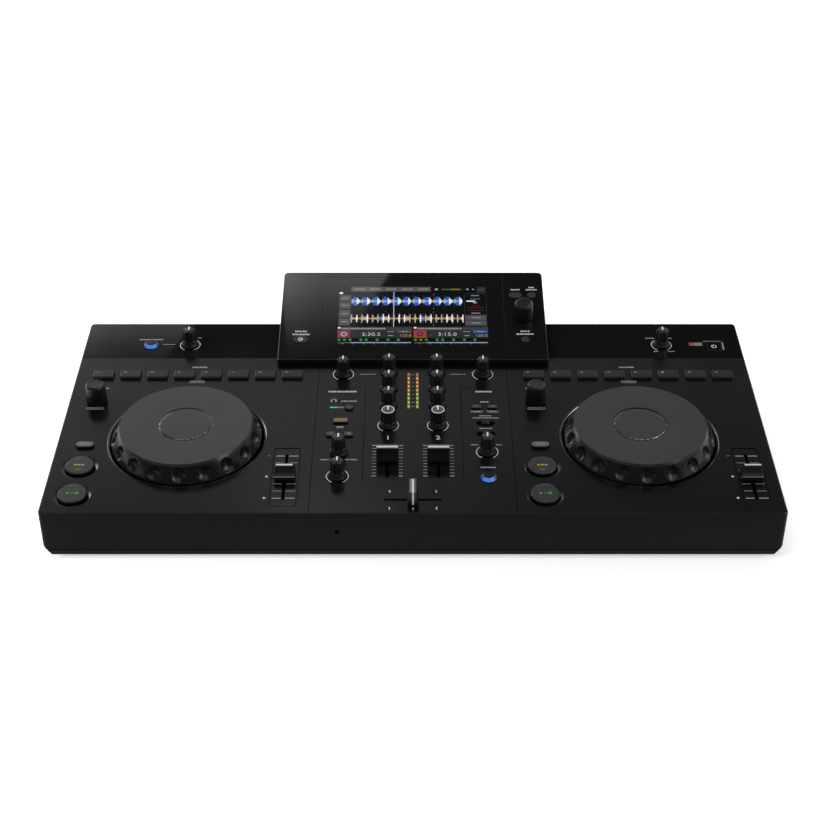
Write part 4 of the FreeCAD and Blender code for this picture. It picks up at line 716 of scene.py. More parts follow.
class CONSOLE_OT_prints(bpy.types.Operator):
    """Rings, ticks, dashes and figures printed on the plate"""

    bl_idname = "console.prints"
    bl_label = "Printed marks"

    # Rows of dashes by their place, length and depth, or the usual depth where none is given.
    MIXER_LABELS = (
        (FLANK, 143.4, 11, 1.3),
        (67.6, 140.1, 24, 1.3),
        (FLANK, 123.7, 12, 1.5),
        (FLANK - 11.2, 98.5, 6.6, 1.3),
        (FLANK + 11.2, 98.5, 5.2, 1.3),
        (67.5, 64.9, 13.4),
        (-67.6, 125.8, 6.8, 2.1),
        (-55.9, 76.3, 11, 1.6),
        (-79.5, 76.3, 7, 1.6),
    )
    STRIP_LABELS = (
        (-213, 275.7, 4, 1.5),
        (236.1, 275, 8.8, 1.5),
        (255.6, 275, 4.7, 1.5),
        (239.7, 251.4, 4.8, 1.5),
        (254.7, 251.4, 6.4, 1.5),
    )

    def execute(self, context):
        for side, x in DECKS:
            self.deck_marks(side, x)
        self.mixer_marks()
        self.strip_marks()
        return {"FINISHED"}

    def deck_marks(self, side, x):
        marks = Piece("deck_marks_" + side)
        marks.words("label", x, 223.6, 15, 1.9)
        marks.tag(x, 199, (14.8, 3.6), 0.45, "faint ink", (10.5, 1.4))
        marks.words("label", x + COLUMN, 188, 17, 1.6)
        marks.tag(x + COLUMN, LOOP_LABEL_Y, (16.8, 3.8), 0.45, "faint ink", (12, 1.5))
        self.tempo_marks(marks, x + TEMPO)
        marks.done()

    def tempo_marks(self, marks, slot):
        """A line round the slider's sunk panel and the ticks on it, with round lamps beside them."""
        for way in (-1, 1):
            marks.block("groove", slot + 11.8 * way, TEMPO_Y, 0.5, 78)
            marks.block("groove", slot, TEMPO_Y + 41.7 * way, 18, 0.5)
        for across, up, start in ((1, 1, 0), (-1, 1, 90), (-1, -1, 180), (1, -1, 270)):
            marks.ring(
                "groove", slot + 9 * across, TEMPO_Y + 38.9 * up, 2.8, 0.5, start=start, sweep=90, steps=6)
        top, pitch, last = 82, 10.1, 6
        for at in range(last + 1):
            finish = "label" if at in (0, last) else "faint ink"
            for low, high in ((-9.6, -2), (2, 10.4)):
                marks.block(finish, slot + (low + high) / 2, top - pitch * at, high - low, 0.9, lift=-0.3)
        marks.block("faint ink", slot - 16.2, top, 2.4, 0.8)
        for y in (51.6, 21.4):
            marks.disc("ink", slot - 16.4, y, 1.2)

    def knob_ring(self, marks, x, y, radius=9.8):
        marks.ring("ink", x, y, radius, mm(sizes().print_line), start=-60, sweep=300, steps=40)

    def mixer_marks(self):
        marks = Piece("mixer_marks")
        for digit, half in HALVES:
            self.channel_marks(marks, digit, half)
        marks.block("ink", 0, 6.4, 1.0, 3.0)
        self.knob_ring(marks, -FLANK, 52.2)
        self.knob_ring(marks, FLANK, 87.8)
        for x, length in ((-67.2, 27), (FLANK, 16)):
            marks.words("ink", x, 182.6, length, mm(sizes().heading_depth))
        self.headphone_mark(marks, -74.9, 168.2)
        marks.words("label", -60.5, 166.9, 15)
        marks.words("label", FLANK, 165.7, 8.4)
        for side in (-1, 1):
            marks.tag(FLANK + BEAT * side, 150.4, (11.2, 2.8), 0.4, "label", (7, 1))
        for label in self.MIXER_LABELS:
            marks.words("label", *label)
        for at in range(9):
            width = 3 if at in (0, 7, 8) else 1.5
            marks.block("faint ink", 0, METER_TOP - METER_PITCH * at, width, 1.2)
        marks.done()

    def channel_marks(self, marks, digit, half):
        """Rings and a figure for a channel, the scale of its fader, and ticks by the crossfader."""
        self.knob_ring(marks, FLANK * half, TRIM_Y)
        self.knob_ring(marks, CHANNEL * half, FILTER_Y - 0.4, 9.6)
        marks.block("label", 43.5 * half, TRIM_Y, 15.4, 0.6)
        marks.figures("ink", CHANNEL * half, 109.2, digit, 8.4, weight=0.1)
        top, pitch, last = 97.5, 4.5, 10
        for side in (-1, 1):
            for at in range(last + 1):
                finish = "label" if at in (0, last) else "faint ink"
                marks.block(finish, CHANNEL * half + 12.1 * side, top - pitch * at, 3.7, 0.9)
        for y in (30.5, 7.1):
            marks.block("ink", 20.5 * half, y, 1.0, 3.4)

    def headphone_mark(self, marks, x, y):
        marks.ring("label", x, y, 2.3, 0.7, start=0, sweep=180, steps=14)
        for side in (-1, 1):
            marks.block("label", x + 2.1 * side, y - 1, 1.6, 2.4)

    def strip_marks(self):
        marks = Piece("strip_marks")
        for x in STRIP_KNOBS:
            self.knob_ring(marks, x, STRIP_Y)
        marks.words("label", -260.8, 272.5, 23)
        marks.block("label", -242, 264, 12, 0.6)
        for label in self.STRIP_LABELS:
            marks.words("label", *label)
        marks.done()


class CONSOLE_OT_jogs(bpy.types.Operator):
    """Jog wheels"""

    bl_idname = "console.jogs"
    bl_label = "Jog wheels"

    # The ring groove: the radius of its middle in the CAD and here, and how much wider and deeper it gets.
    CAD_RING, RING, WIDER, DEEPER = 25.65, 24.5, 1.9, 1.6
    SHOULDER = 14

    def execute(self, context):
        for side, _ in DECKS:
            welded("jog_wheel_" + side, self.jog_finish, smooth=24, extra=self.open_ring)
        return {"FINISHED"}

    def open_ring(self, piece):
        """A ring groove a little nearer to the middle, wider and deeper than the CAD's."""
        first = next(iter(piece.shape.verts)).co
        middle = min((x for _, x in DECKS), key=lambda x: abs(x - first.x))
        for vert in piece.shape.verts:
            beyond = hypot(vert.co.x - middle, vert.co.y - JOG_Y) - self.CAD_RING
            if vert.co.z > JOG_TOP - 0.8 and abs(beyond) < 0.75:
                depth = (JOG_TOP - vert.co.z) * self.DEEPER
                set_round(vert, middle, JOG_Y, self.RING + beyond * self.WIDER, JOG_TOP - depth)

    def jog_finish(self, spot, normal):
        out = min(hypot(spot.x - x, spot.y - JOG_Y) for _, x in DECKS)
        if self.SHOULDER < spot.z < JOG_TOP - 0.05 and out < 30:
            return "ring line"
        if spot.z > JOG_TOP - 0.1 and normal.z > 0.9:
            return "jog disc"
        return "jog shoulder" if spot.z > self.SHOULDER and normal.z > 0.1 else "jog skirt"


class CONSOLE_OT_knobs(bpy.types.Operator):
    """Rotary knobs with their pointers"""

    bl_idname = "console.knobs"
    bl_label = "Rotary knobs"

    NAMES = (
        "trim_knob_1", "high_knob_1", "mid_knob_1", "low_knob_1", "filter_knob_1",
        "trim_knob_2", "high_knob_2", "mid_knob_2", "low_knob_2", "filter_knob_2",
        "headphone_mix_knob", "headphone_level_knob", "fx_depth_knob",
        "mic_level_knob", "master_level_knob",
    )

    def execute(self, context):
        for name in self.NAMES:
            extra = self.add_cap if name.startswith("filter") else None
            welded(name, self.knob_finish, smooth=32, extra=extra)
        return {"FINISHED"}

    def knob_finish(self, spot, normal):
        if spot.z > KNOB_TOP + 0.1:
            return "pointer"
        if spot.z > KNOB_TOP - 0.55 and normal.z > 0.5:
            return "knob top"
        return "satin" if spot.z > 0.5 else "steel"

    def add_cap(self, piece):
        """A pale cap in a silver ring, for the filter knobs."""
        reach = [vert.co.x for vert in piece.shape.verts]
        middle = (min(reach) + max(reach)) / 2
        piece.disc("knob cap", middle, FILTER_Y, 5.4, 0.12, KNOB_TOP, 36)
        piece.ring("silver ring", middle, FILTER_Y, 5.6, 0.75, 0.3, KNOB_TOP, steps=40)


class CONSOLE_OT_encoders(bpy.types.Operator):
    """Loop knobs, browse knob and the shafts under them"""

    bl_idname = "console.encoders"
    bl_label = "Push knobs"

    # The height of the loop knobs' tops, and the height below which their bodies carry painted shade.
    TOP, FOOT = 20, 9

    def execute(self, context):
        for side, _ in DECKS:
            welded("loop_knob_" + side, self.loop_finish, smooth=28, cut=self.FOOT)
            dress("loop_shaft_" + side, "steel")
        welded("browse_knob", all_over("satin"), FACE, smooth=28)
        dress("browse_shaft", "steel")
        return {"FINISHED"}

    def loop_finish(self, spot, normal):
        if spot.z > self.TOP - 0.7 and normal.z > 0.9:
            return "knob top"
        # Painted shade on the body below the cut.
        return "satin" if spot.z > self.FOOT else "knob foot"


class CONSOLE_OT_transport(bpy.types.Operator):
    """Cue, play and shift buttons with their lit marks"""

    bl_idname = "console.transport"
    bl_label = "Transport buttons"

    # Each button by its name, the height below which its side is painted near-black as shade at its foot,
    # and the angle up to which edges look round.
    BUTTONS = (("cue", 1.2, 28), ("play", 1.2, 28), ("shift", 1.3, 40))

    def execute(self, context):
        for side, x in DECKS:
            for word, height, smooth in self.BUTTONS:
                # The side below the cut height gets painted shade.
                welded("%s_button_%s" % (word, side), above(height, "button", "key side"), smooth=smooth,
                       cut=height)
            self.cue_mark(side, x + COLUMN)
            self.play_mark(side, x + COLUMN)
            self.shift_mark(side, x + COLUMN)
        return {"FINISHED"}

    def cue_mark(self, side, x):
        mark = Piece("cue_mark_" + side, "cue_button_" + side)
        for at in (-1, 0, 1):
            mark.pill("lamp amber", x + 3.3 * at - 0.1, CUE_Y, 2.7, 1.9, 0.08, ROUND_TOP)
        mark.words("faint ink", x, CUE_Y - 6.5, 5.2, 1.4, ROUND_TOP)
        mark.done()

    def play_mark(self, side, x):
        mark = Piece("play_mark_" + side, "play_button_" + side)
        mark.disc("lamp green", x - 3.9, PLAY_Y, 1.7, 0.08, ROUND_TOP, 3, turn=-pi / 2)
        mark.block("lamp green", x, PLAY_Y, 0.5, 3, 0.08, ROUND_TOP, turn=radians(-32))
        for at in (3.2, 5.1):
            mark.block("lamp green", x + at, PLAY_Y, 1.1, 2.8, 0.08, ROUND_TOP)
        mark.done()

    def shift_mark(self, side, x):
        mark = Piece("shift_mark_" + side, "shift_button_" + side)
        mark.tag(x, SHIFT_Y, (14.2, 5.4), 0.55, "label", (9.4, 1.5), 0.05, SHIFT_TOP)
        mark.done()


class CONSOLE_OT_pads(bpy.types.Operator):
    """Hot-cue pads with the light that shows through them"""

    bl_idname = "console.pads"
    bl_label = "Hot-cue pads"

    GLOWS = {
        "left": ("olive", "orange", "lime", "lime", "lime", "olive", "orange", "orange"),
        "right": ("orange", "lime", "lime", "lime", "orange", "white", "orange", "orange"),
    }
    # The height above which the pads' sides carry a painted highlight.
    EDGE = 1.3

    def execute(self, context):
        for side, x in DECKS:
            welded("hot_cue_pads_" + side, self.pad_finish, smooth=40, flatten=True, edge=0.3,
                   cut=self.EDGE)
            glow = Piece("pad_glow_" + side, "hot_cue_pads_" + side)
            for at, tint in enumerate(self.GLOWS[side]):
                glow.pill("pad " + tint, x + PAD_PITCH * (at - 3.5) - 5.4, PAD_Y, 3, 1.7, 0.05, PAD_TOP)
            glow.done()
        return {"FINISHED"}

    def pad_finish(self, spot, normal):
        # Painted highlight on the sides above that height, the pad finish elsewhere.
        return "pad edge" if spot.z > self.EDGE and abs(normal.z) < 0.4 else "pad"


class CONSOLE_OT_small_keys(bpy.types.Operator):
    """Lit and unlit keys of the mixer and the strip, and their switches"""

    bl_idname = "console.small_keys"
    bl_label = "Small keys"

    # Each key by its name, the finish of its top, how level a face has to be for it, and the angle up to
    # which edges look round.
    KEYS = (
        ("master_cue_button", "amber lens", 0.9, 40),
        ("channel_cue_buttons", "button", 0.2, 40),
        ("beat_buttons", "button", 0.2, 40),
        ("pairing_button", "button", 0.2, 28),
    )
    # How far below a key's top its side ends.
    BEVEL = 0.65
    # Finishes of a lit key's slopes by how far they turn to the back: painted shade that dims the lamp's
    # colour from the front slope round to the back one.
    SLOPE_SHADES = ((-0.5, "blue front"), (-0.25, "blue half"), (0.1, "blue side"), (1, "blue back"))

    def execute(self, context):
        for name, top, level, smooth in self.KEYS:
            welded(name, above(KEY_TOP - self.BEVEL, top, "pad side", level), smooth=smooth)
        for name in ("fx_on_button", "source_button"):
            welded(name, self.lit_slope_shaded, smooth=28)
        welded("power_button", above(POWER_TOP - self.BEVEL, "gloss", "pad side", 0.2), smooth=40)
        for name in ("fx_select_switch", "fx_channel_switch"):
            welded(name, all_over("satin"), smooth=30, flatten=True, edge=0.2)
        self.key_marks()
        self.lamps()
        return {"FINISHED"}

    # A lit key's dark top, its slopes with painted shade by which way they face, and its dark sides.
    def lit_slope_shaded(self, spot, normal):
        if spot.z > 3.3 and normal.z > 0.9:
            return "blue top"
        if spot.z > 0 and normal.z > 0.3:
            return next(finish for level, finish in self.SLOPE_SHADES if normal.y <= level)
        return "pad side"

    def key_marks(self):
        """Marks and lamps that ride on the keys."""
        cue = Piece("channel_cue_lamps", "channel_cue_buttons")
        for side, tint in ((-1, "pad lime"), (1, "lamp amber")):
            cue.words(tint, 8.15 * side - FLANK, 113.5, 3.6, 1.6, KEY_TOP)
        cue.done()
        beat = Piece("beat_marks", "beat_buttons")
        for side in (-1, 1):
            beat.disc("faint ink", FLANK + BEAT * side, BEAT_Y, 1.2, None, KEY_TOP, 3, turn=-side * pi / 2)
            beat.block("faint ink", FLANK + (BEAT + 1.7) * side, BEAT_Y, 0.6, 1.8, None, KEY_TOP)
        beat.done()
        master = Piece("master_cue_mark", "master_cue_button")
        master.words("amber dash", -FLANK, 134.5, 11, 2, KEY_TOP)
        master.done()
        pairing = Piece("pairing_mark", "pairing_button")
        pairing.words("faint ink", -59.9, 155.6, 3.4, 1, KEY_TOP)
        pairing.done()
        power = Piece("power_mark", "power_button")
        power.ring("ink", POWER, 261.4, 2.3, 0.9, 0.05, POWER_TOP, start=120, sweep=300, steps=20)
        power.block("ink", POWER, 263.4, 0.9, 2.6, 0.05, POWER_TOP)
        power.done()

    def lamps(self):
        """The power key's lamp bar on the strip, and the lit bar over the headphone controls."""
        lamp = Piece("strip_lamps")
        lamp.block("dark ink", 296.8, 269.3, 17, 1.4)
        lamp.block("faint ink", 284, 264.95, 10, 5.4, 0.1, STRIP_TOP)
        lamp.block("ember", 276.6, 264.95, 5.4, 5.6, 0.12, STRIP_TOP)
        lamp.block("lamp red", 277.4, 263.2, 4.6, 1.2, 0.16, STRIP_TOP)
        lamp.done()
        bar = Piece("headphone_lamp")
        bar.pill("faint ink", -71.6, 156.8, 13.6, 2.2, 0.12)
        bar.pill("lamp teal", -74.5, 156.8, 7.6, 1.7, 0.2)
        bar.done()


class CONSOLE_OT_faders(bpy.types.Operator):
    """Channel faders, crossfader and tempo sliders"""

    bl_idname = "console.faders"
    bl_label = "Faders"

    def execute(self, context):
        for digit, half in HALVES:
            self.fader("channel_fader_" + digit, "fader_line_" + digit, 0.1, (
                ("cap line", CHANNEL * half, FADER_Y, 19.2, 2.7, 0.12, FADER_TOP),))
        self.fader("crossfader", "crossfader_line", 0.05, (
            ("cap line", 0, CROSSFADER_Y, 1.9, 19.2, 0.14, FADER_TOP),
            # A painted highlight strip on the cap's left slope, beside its line.
            ("faint ink", -1.9, CROSSFADER_Y, 1.7, 19, 0.04, FADER_TOP + 0.3),
            ("cap line", 0, CROSSFADER_Y - 9.83, 1.5, 0.12, 13.2, 2.4)))
        for side, x in DECKS:
            self.fader("tempo_slider_" + side, "tempo_line_" + side, 0.05, (
                ("cap line", x + TEMPO, TEMPO_Y, 14.6, 1.9, 0.12, TEMPO_TOP),
                # A painted highlight strip along the ledge at the front of the cap.
                ("faint ink", x + TEMPO, TEMPO_Y - 7.65, 18.5, 0.9, 0.06, 5.4)))
        return {"FINISHED"}

    def fader(self, body, name, edge, lines):
        """A cap, the lines on it and its painted highlight strips, which are blocks with eased edges."""
        welded(body, self.fader_finish, smooth=30, flatten=True, edge=0.35)
        piece = Piece(name, body)
        for line in lines:
            piece.block(*line)
        piece.done(edge=edge)

    def fader_finish(self, spot, normal):
        if spot.z > 12.5 and normal.z > 0.9:
            return "knob cap"
        return "moulding" if spot.z > 1 else "steel"


class CONSOLE_OT_display(bpy.types.Operator):
    """Display housing, glass and the keys beside it"""

    bl_idname = "console.display"
    bl_label = "Display"

    # Rows of dashes by their place, length and depth.
    LABELS = (
        (-SETTINGS, 40.7, 11.5, 2),
        (-SETTINGS, 36.3, 17, 2),
        (SETTINGS, 40.9, 9, 2),
        (SETTINGS, 36.8, 17.5, 2),
        (103.6, 103.2, 9, 1.8),
        (120.2, 106.6, 5.5, 1.8),
        (120.2, 103.2, 11.3, 1.8),
    )

    def execute(self, context):
        welded("display_housing", all_over("gloss"), FACE, smooth=28, flatten=True, edge=0.5)
        welded("touch_screen", all_over("glass"), FACE, smooth=28, flatten=True, edge=0.15)
        for name in ("mixer_settings_button", "deck_settings_button", "back_button", "tag_button"):
            welded(name, above(0.35, "button", "pad side", 0.2), FACE, smooth=40)
        marks = Piece("display_marks", "console", FACE)
        for label in self.LABELS:
            marks.words("ink", *label)
        marks.done()
        self.gear_mark()
        return {"FINISHED"}

    def gear_mark(self):
        mark = Piece("mixer_settings_mark", "mixer_settings_button", FACE)
        mark.ring("ink", -SETTINGS, SETTINGS_Y, 1.7, 1.1, None, SETTINGS_TOP, steps=24)
        for at in range(6):
            angle = at * pi / 3
            x, y = 2.3 * cos(angle) - SETTINGS, 2.3 * sin(angle) + SETTINGS_Y
            mark.block("ink", x, y, 0.8, 0.8, None, SETTINGS_TOP, turn=angle)
        mark.done()


class View(Piece):
    """A piece on the touch screen, with the screen's own finishes."""

    def __init__(self, name):
        super().__init__(name, "console", FACE)

    def slot(self, finish):
        return super().slot("view " + finish)


class CONSOLE_OT_screen_view(bpy.types.Operator):
    """What the touch screen shows: two tracks, two decks and a side menu"""

    bl_idname = "console.screen_view"
    bl_label = "Screen view"

    LOW, HIGH, LEFT, MIDDLE, RIGHT = 21.2, 107.9, -75.0, 0.3, 74.5
    # Width of a beat of the first track and of the second.
    BEAT, HALF_BEAT = 10.35, 5.3

    def execute(self, context):
        back = View("screen_back")
        back.area("black", self.LEFT, self.RIGHT, self.LOW, self.HIGH, 0.02)
        self.top_bar(back)
        self.tabs(back)
        self.browser(back)
        back.done()
        tracks = View("screen_tracks")
        self.first_track(tracks)
        self.second_track(tracks)
        tracks.done()
        decks = View("screen_decks")
        self.deck_panel(decks, self.LEFT, ("plum", "light"), "2:30.5", "120.0", ("orange", "grey"))
        self.deck_panel(decks, self.MIDDLE, ("red", "navy"), "3:15.0", "120.0", ("light", "blue"))
        self.overview(decks, self.LEFT + 1, -1.5)
        self.overview(decks, 1.5, self.RIGHT - 1)
        decks.done()
        return {"FINISHED"}

    def top_bar(self, piece):
        piece.area("grey", -62.7, 18.1, 100.4, 107.7, 0.05)
        for at in range(5):
            piece.words("light", -54.4 + 16.2 * at, 104, 10.5, 1.7, 0.05)
        piece.disc("light", 23.8, 103.9, 1.7, segments=16)
        for finish, left, right in (("moss", 29.1, 39), ("olive", 39, 48.2), ("dark", 48.6, 50.4)):
            piece.area(finish, left, right, 102.6, 104.9, 0.05)
        piece.disc("light", 55.3, 104, 1.6, segments=4)
        piece.disc("light", 61, 104, 1.5, segments=3)
        piece.area("dark", 64.6, 73.8, 98.5, 107.7, 0.05)
        piece.words("grey", 69.2, 103.2, 6, 1.6, 0.05)

    def tabs(self, piece):
        """The column of tabs left of the tracks."""
        piece.area("dark", -74.8, -62.3, 48.4, 96, 0.05)
        for low, high in ((86, 94.5), (75, 84), (61.8, 72.4), (50, 60)):
            piece.area("grey", -73.8, -63, low, high, 0.07)
            piece.words("light", -68.4, (low + high) / 2, 6.4, 1.3, 0.07)
        piece.area("white", -74.3, -71, 96.8, 99.4)

    def browser(self, piece):
        """The small menu right of the tracks."""
        piece.area("dark", 51.6, 73.9, 48.4, 97.4, 0.04)
        piece.area("black", 52.2, 73.4, 65.6, 96.6)
        piece.words("light", 62.7, 94.2, 8, 1.3, 0.06)
        piece.area("steel", 57.7, 68.1, 88.2, 90, 0.08)
        piece.area("white", 53.9, 62.6, 85, 86.6, 0.08)
        piece.area("light", 60.6, 64.5, 82.6, 84.6, 0.08)
        for y, width in ((78.2, 8), (75.2, 16), (71.4, 16)):
            piece.area("rust", 63.2 - width / 2, 63.2 + width / 2, y, y + 0.9, 0.08)
        piece.words("light", 63, 67.6, 8.6, 1.5, 0.06)
        for low, high in ((57.6, 64.4), (49.6, 56.6)):
            piece.area("grey", 52.4, 73.2, low, high)
            piece.words("light", 62.8, (low + high) / 2, 9, 1.3, 0.06)

    def bars(self, left, right, wobble):
        """The place of every bar of a track and its ripple."""
        pitch = mm(sizes().bar_pitch)
        for at in range(int((right - left) / pitch)):
            yield left + pitch * (at + 0.5), 0.06 * sin(at * 12.9898) + 0.04 * sin(at * wobble)

    def first_track(self, piece):
        """Blue blocks that fall off into white, eleven over the width."""
        left, right, middle, reach = -62.0, 50.3, 85.7, 6.9
        for x, ripple in self.bars(left, right, 4.1):
            beat = ((x - left) / self.BEAT) % 1
            if beat < 0.13:
                self.bar(piece, "cream", x, middle, reach * (0.42 + ripple), 0.04)
            elif beat < 0.52:
                self.bar(piece, "blue", x, middle, reach * (0.92 + ripple), 0.04)
                self.bar(piece, "sky", x, middle, reach * (0.22 + ripple), 0.06)
            elif beat < 0.8:
                fall = 1 - (beat - 0.52) / 0.4
                self.bar(piece, "sky", x, middle, reach * (0.95 * fall + ripple), 0.04)
                self.bar(piece, "white", x, middle, reach * (0.7 * fall + ripple), 0.06)
            else:
                self.bar(piece, "sky", x, middle, reach * (0.24 + ripple), 0.04)
        self.grid_lines(piece, left, middle, reach)

    def second_track(self, piece):
        """White spindles over small orange bars."""
        left, right, middle, reach = -62.4, 50.6, 59.8, 6.2
        for x, ripple in self.bars(left, right, 7.3):
            turn, beat = divmod((x - left) / self.HALF_BEAT, 1)
            if beat < 0.36:
                swell = sin(pi * beat / 0.36)
                finish = "white" if turn % 3 != 2 and turn % 4 else "cream"
                self.bar(piece, finish, x, middle, reach * (0.95 * swell + 0.1 + ripple), 0.05)
            else:
                loud = 0.42 if turn % 4 == 2 else 0.16
                finish = "orange" if turn % 2 else "cream"
                self.bar(piece, finish, x, middle, reach * (loud + ripple), 0.05)
                if turn % 8 == 5:
                    self.bar(piece, "blue", x, middle, reach * (0.55 + ripple), 0.04)
        self.grid_lines(piece, left, middle, reach)
        piece.area("pale", -19.7, -19.0, 47.6, 99.8, 0.1)

    def bar(self, piece, finish, x, middle, reach, height):
        width = mm(sizes().bar_pitch) * 0.94
        piece.block(finish, x, middle, width, max(2 * reach, 0.5), height)

    def grid_lines(self, piece, left, middle, reach):
        """Thin lines at the beats, one of them with light ends, and a red mark."""
        for at in range(11):
            x = left + self.BEAT * at
            piece.area("grey", x - 0.12, x + 0.12, middle - reach * 1.3, middle + reach * 1.3, 0.03)
            if at == 8:
                piece.area("light", x - 0.4, x + 0.4, middle + reach * 1.5, middle + reach * 1.6)
                piece.area("light", x - 0.4, x + 0.4, middle - reach * 1.6, middle - reach * 1.5)
        piece.area("rust", left + 34, left + 36, middle + reach * 1.55, middle + reach * 1.68)

    def deck_panel(self, piece, left, cover, time, pace, tints):
        """A cover picture, the time left, the pace and a tab, over a row of cue marks."""
        piece.area("dark", left, left + 74.2, 31.2, 47.4, 0.04)
        piece.area("dim", left, left + 74.2, 42.6, 47.2, 0.05)
        piece.area("white", left + 0.6, left + 3.2, 45, 47, 0.08)
        piece.words("light", left + 26, 44.8, 43, 2.1, 0.05)
        piece.area(cover[0], left + 0.4, left + 12.8, 31.6, 42)
        piece.ring(cover[1], left + 6.6, 36.8, 2.6, 1.7, 0.08, steps=24)
        piece.words("grey", left + 17.5, 35.6, 1.6, 1.2, 0.04)
        piece.figures("pale", left + 33.6, 36.4, time, 6.6, 0.08, 0.03, 1.05, 1.12, -0.04)
        piece.words("grey", left + 34, 41, 9, 0.9, 0.05)
        piece.words("light", left + 53, 40.4, 7, 1.1, 0.05)
        piece.words("light", left + 53, 34.6, 5.4, 1.4, 0.05)
        piece.area(tints[1], left + 59.4, left + 73.4, 38.9, 42.1, 0.07)
        piece.words("light", left + 66.4, 40.5, 6.4, 1.2, 0.07)
        piece.figures(tints[0], left + 67.4, 34.6, pace, 5.0, 0.08, 0.03, 1, 1.1, -0.03)
        for at in (2.1, 7.5, 12.9, 23.6, 28.9, 39.7, 50.4, 60.6):
            piece.area("leaf", left + at - 1.3, left + at + 1.3, 27.1, 30, 0.07)

    def overview(self, piece, left, right):
        """A whole track in small: a soft start, then pale bars over taller ones, with a few ticks."""
        pitch = 0.6
        for at in range(int((right - left) / pitch)):
            x = left + pitch * (at + 0.5)
            soft = (x - left) / (right - left) < 0.17
            wave = 0.75 + 0.25 * sin(at * 1.7) * sin(at * 0.31)
            tall = (0.7 if soft else 1.7) * wave
            base = "orange" if soft else "steel"
            piece.block(base, x, 24.4 - tall / 2, pitch * 0.92, tall)
            if not soft:
                piece.block("pale" if at % 5 else "sky", x, 24.6, pitch * 0.92, 0.7, 0.08)
            if at % 17 == 8:
                piece.block("light", x, 22.9, 0.5, 1.6, 0.09)


class CONSOLE_OT_level_meter(bpy.types.Operator):
    """Level meter between the channels"""

    bl_idname = "console.level_meter"
    bl_label = "Level meter"

    TINTS = ("core red",) + ("core cream",) * 4 + ("core lime",) * 4

    def execute(self, context):
        meter = Piece("level_meter")
        for side in (-1, 1):
            for at, tint in enumerate(self.TINTS):
                x, y = METER * side, METER_TOP - METER_PITCH * at
                glow = "glow olive" if tint == "core lime" else "glow brown"
                meter.block(glow, x, y, 2.6, 0.9 * METER_PITCH)
                meter.block(tint, x, y, 1.4, 3.1, mm(sizes().lamp_height))
        meter.done()
        return {"FINISHED"}


class CONSOLE_OT_sockets(bpy.types.Operator):
    """Sockets in the front and back walls"""

    bl_idname = "console.sockets"
    bl_label = "Sockets"

    # The outer face of the back wall.
    WALL = 299.4

    def execute(self, context):
        welded("rear_sockets", self.socket_finish, smooth=28)
        welded("headphone_jack", lambda spot, normal: "well" if spot.y > 2.8 else "steel", smooth=28)
        return {"FINISHED"}

    def socket_finish(self, spot, normal):
        """Steel for sleeves, ports and the inlet, brass for the phono pins, and dark inside the wall."""
        if 140 < spot.x < 220:
            return "steel" if abs(normal.y) < 0.5 or spot.y > 301 else "well"
        if spot.y <= self.WALL:
            return "well"
        steel = abs(spot.x) > 280 or abs(spot.x + 66) < 30 or abs(spot.x + 221) < 15
        return "steel" if steel else "brass"


def wall(low, high):
    """The corners of an upright sheet between two opposite ones."""
    return low, (high[0], high[1], low[2]), high, (low[0], low[1], high[2])


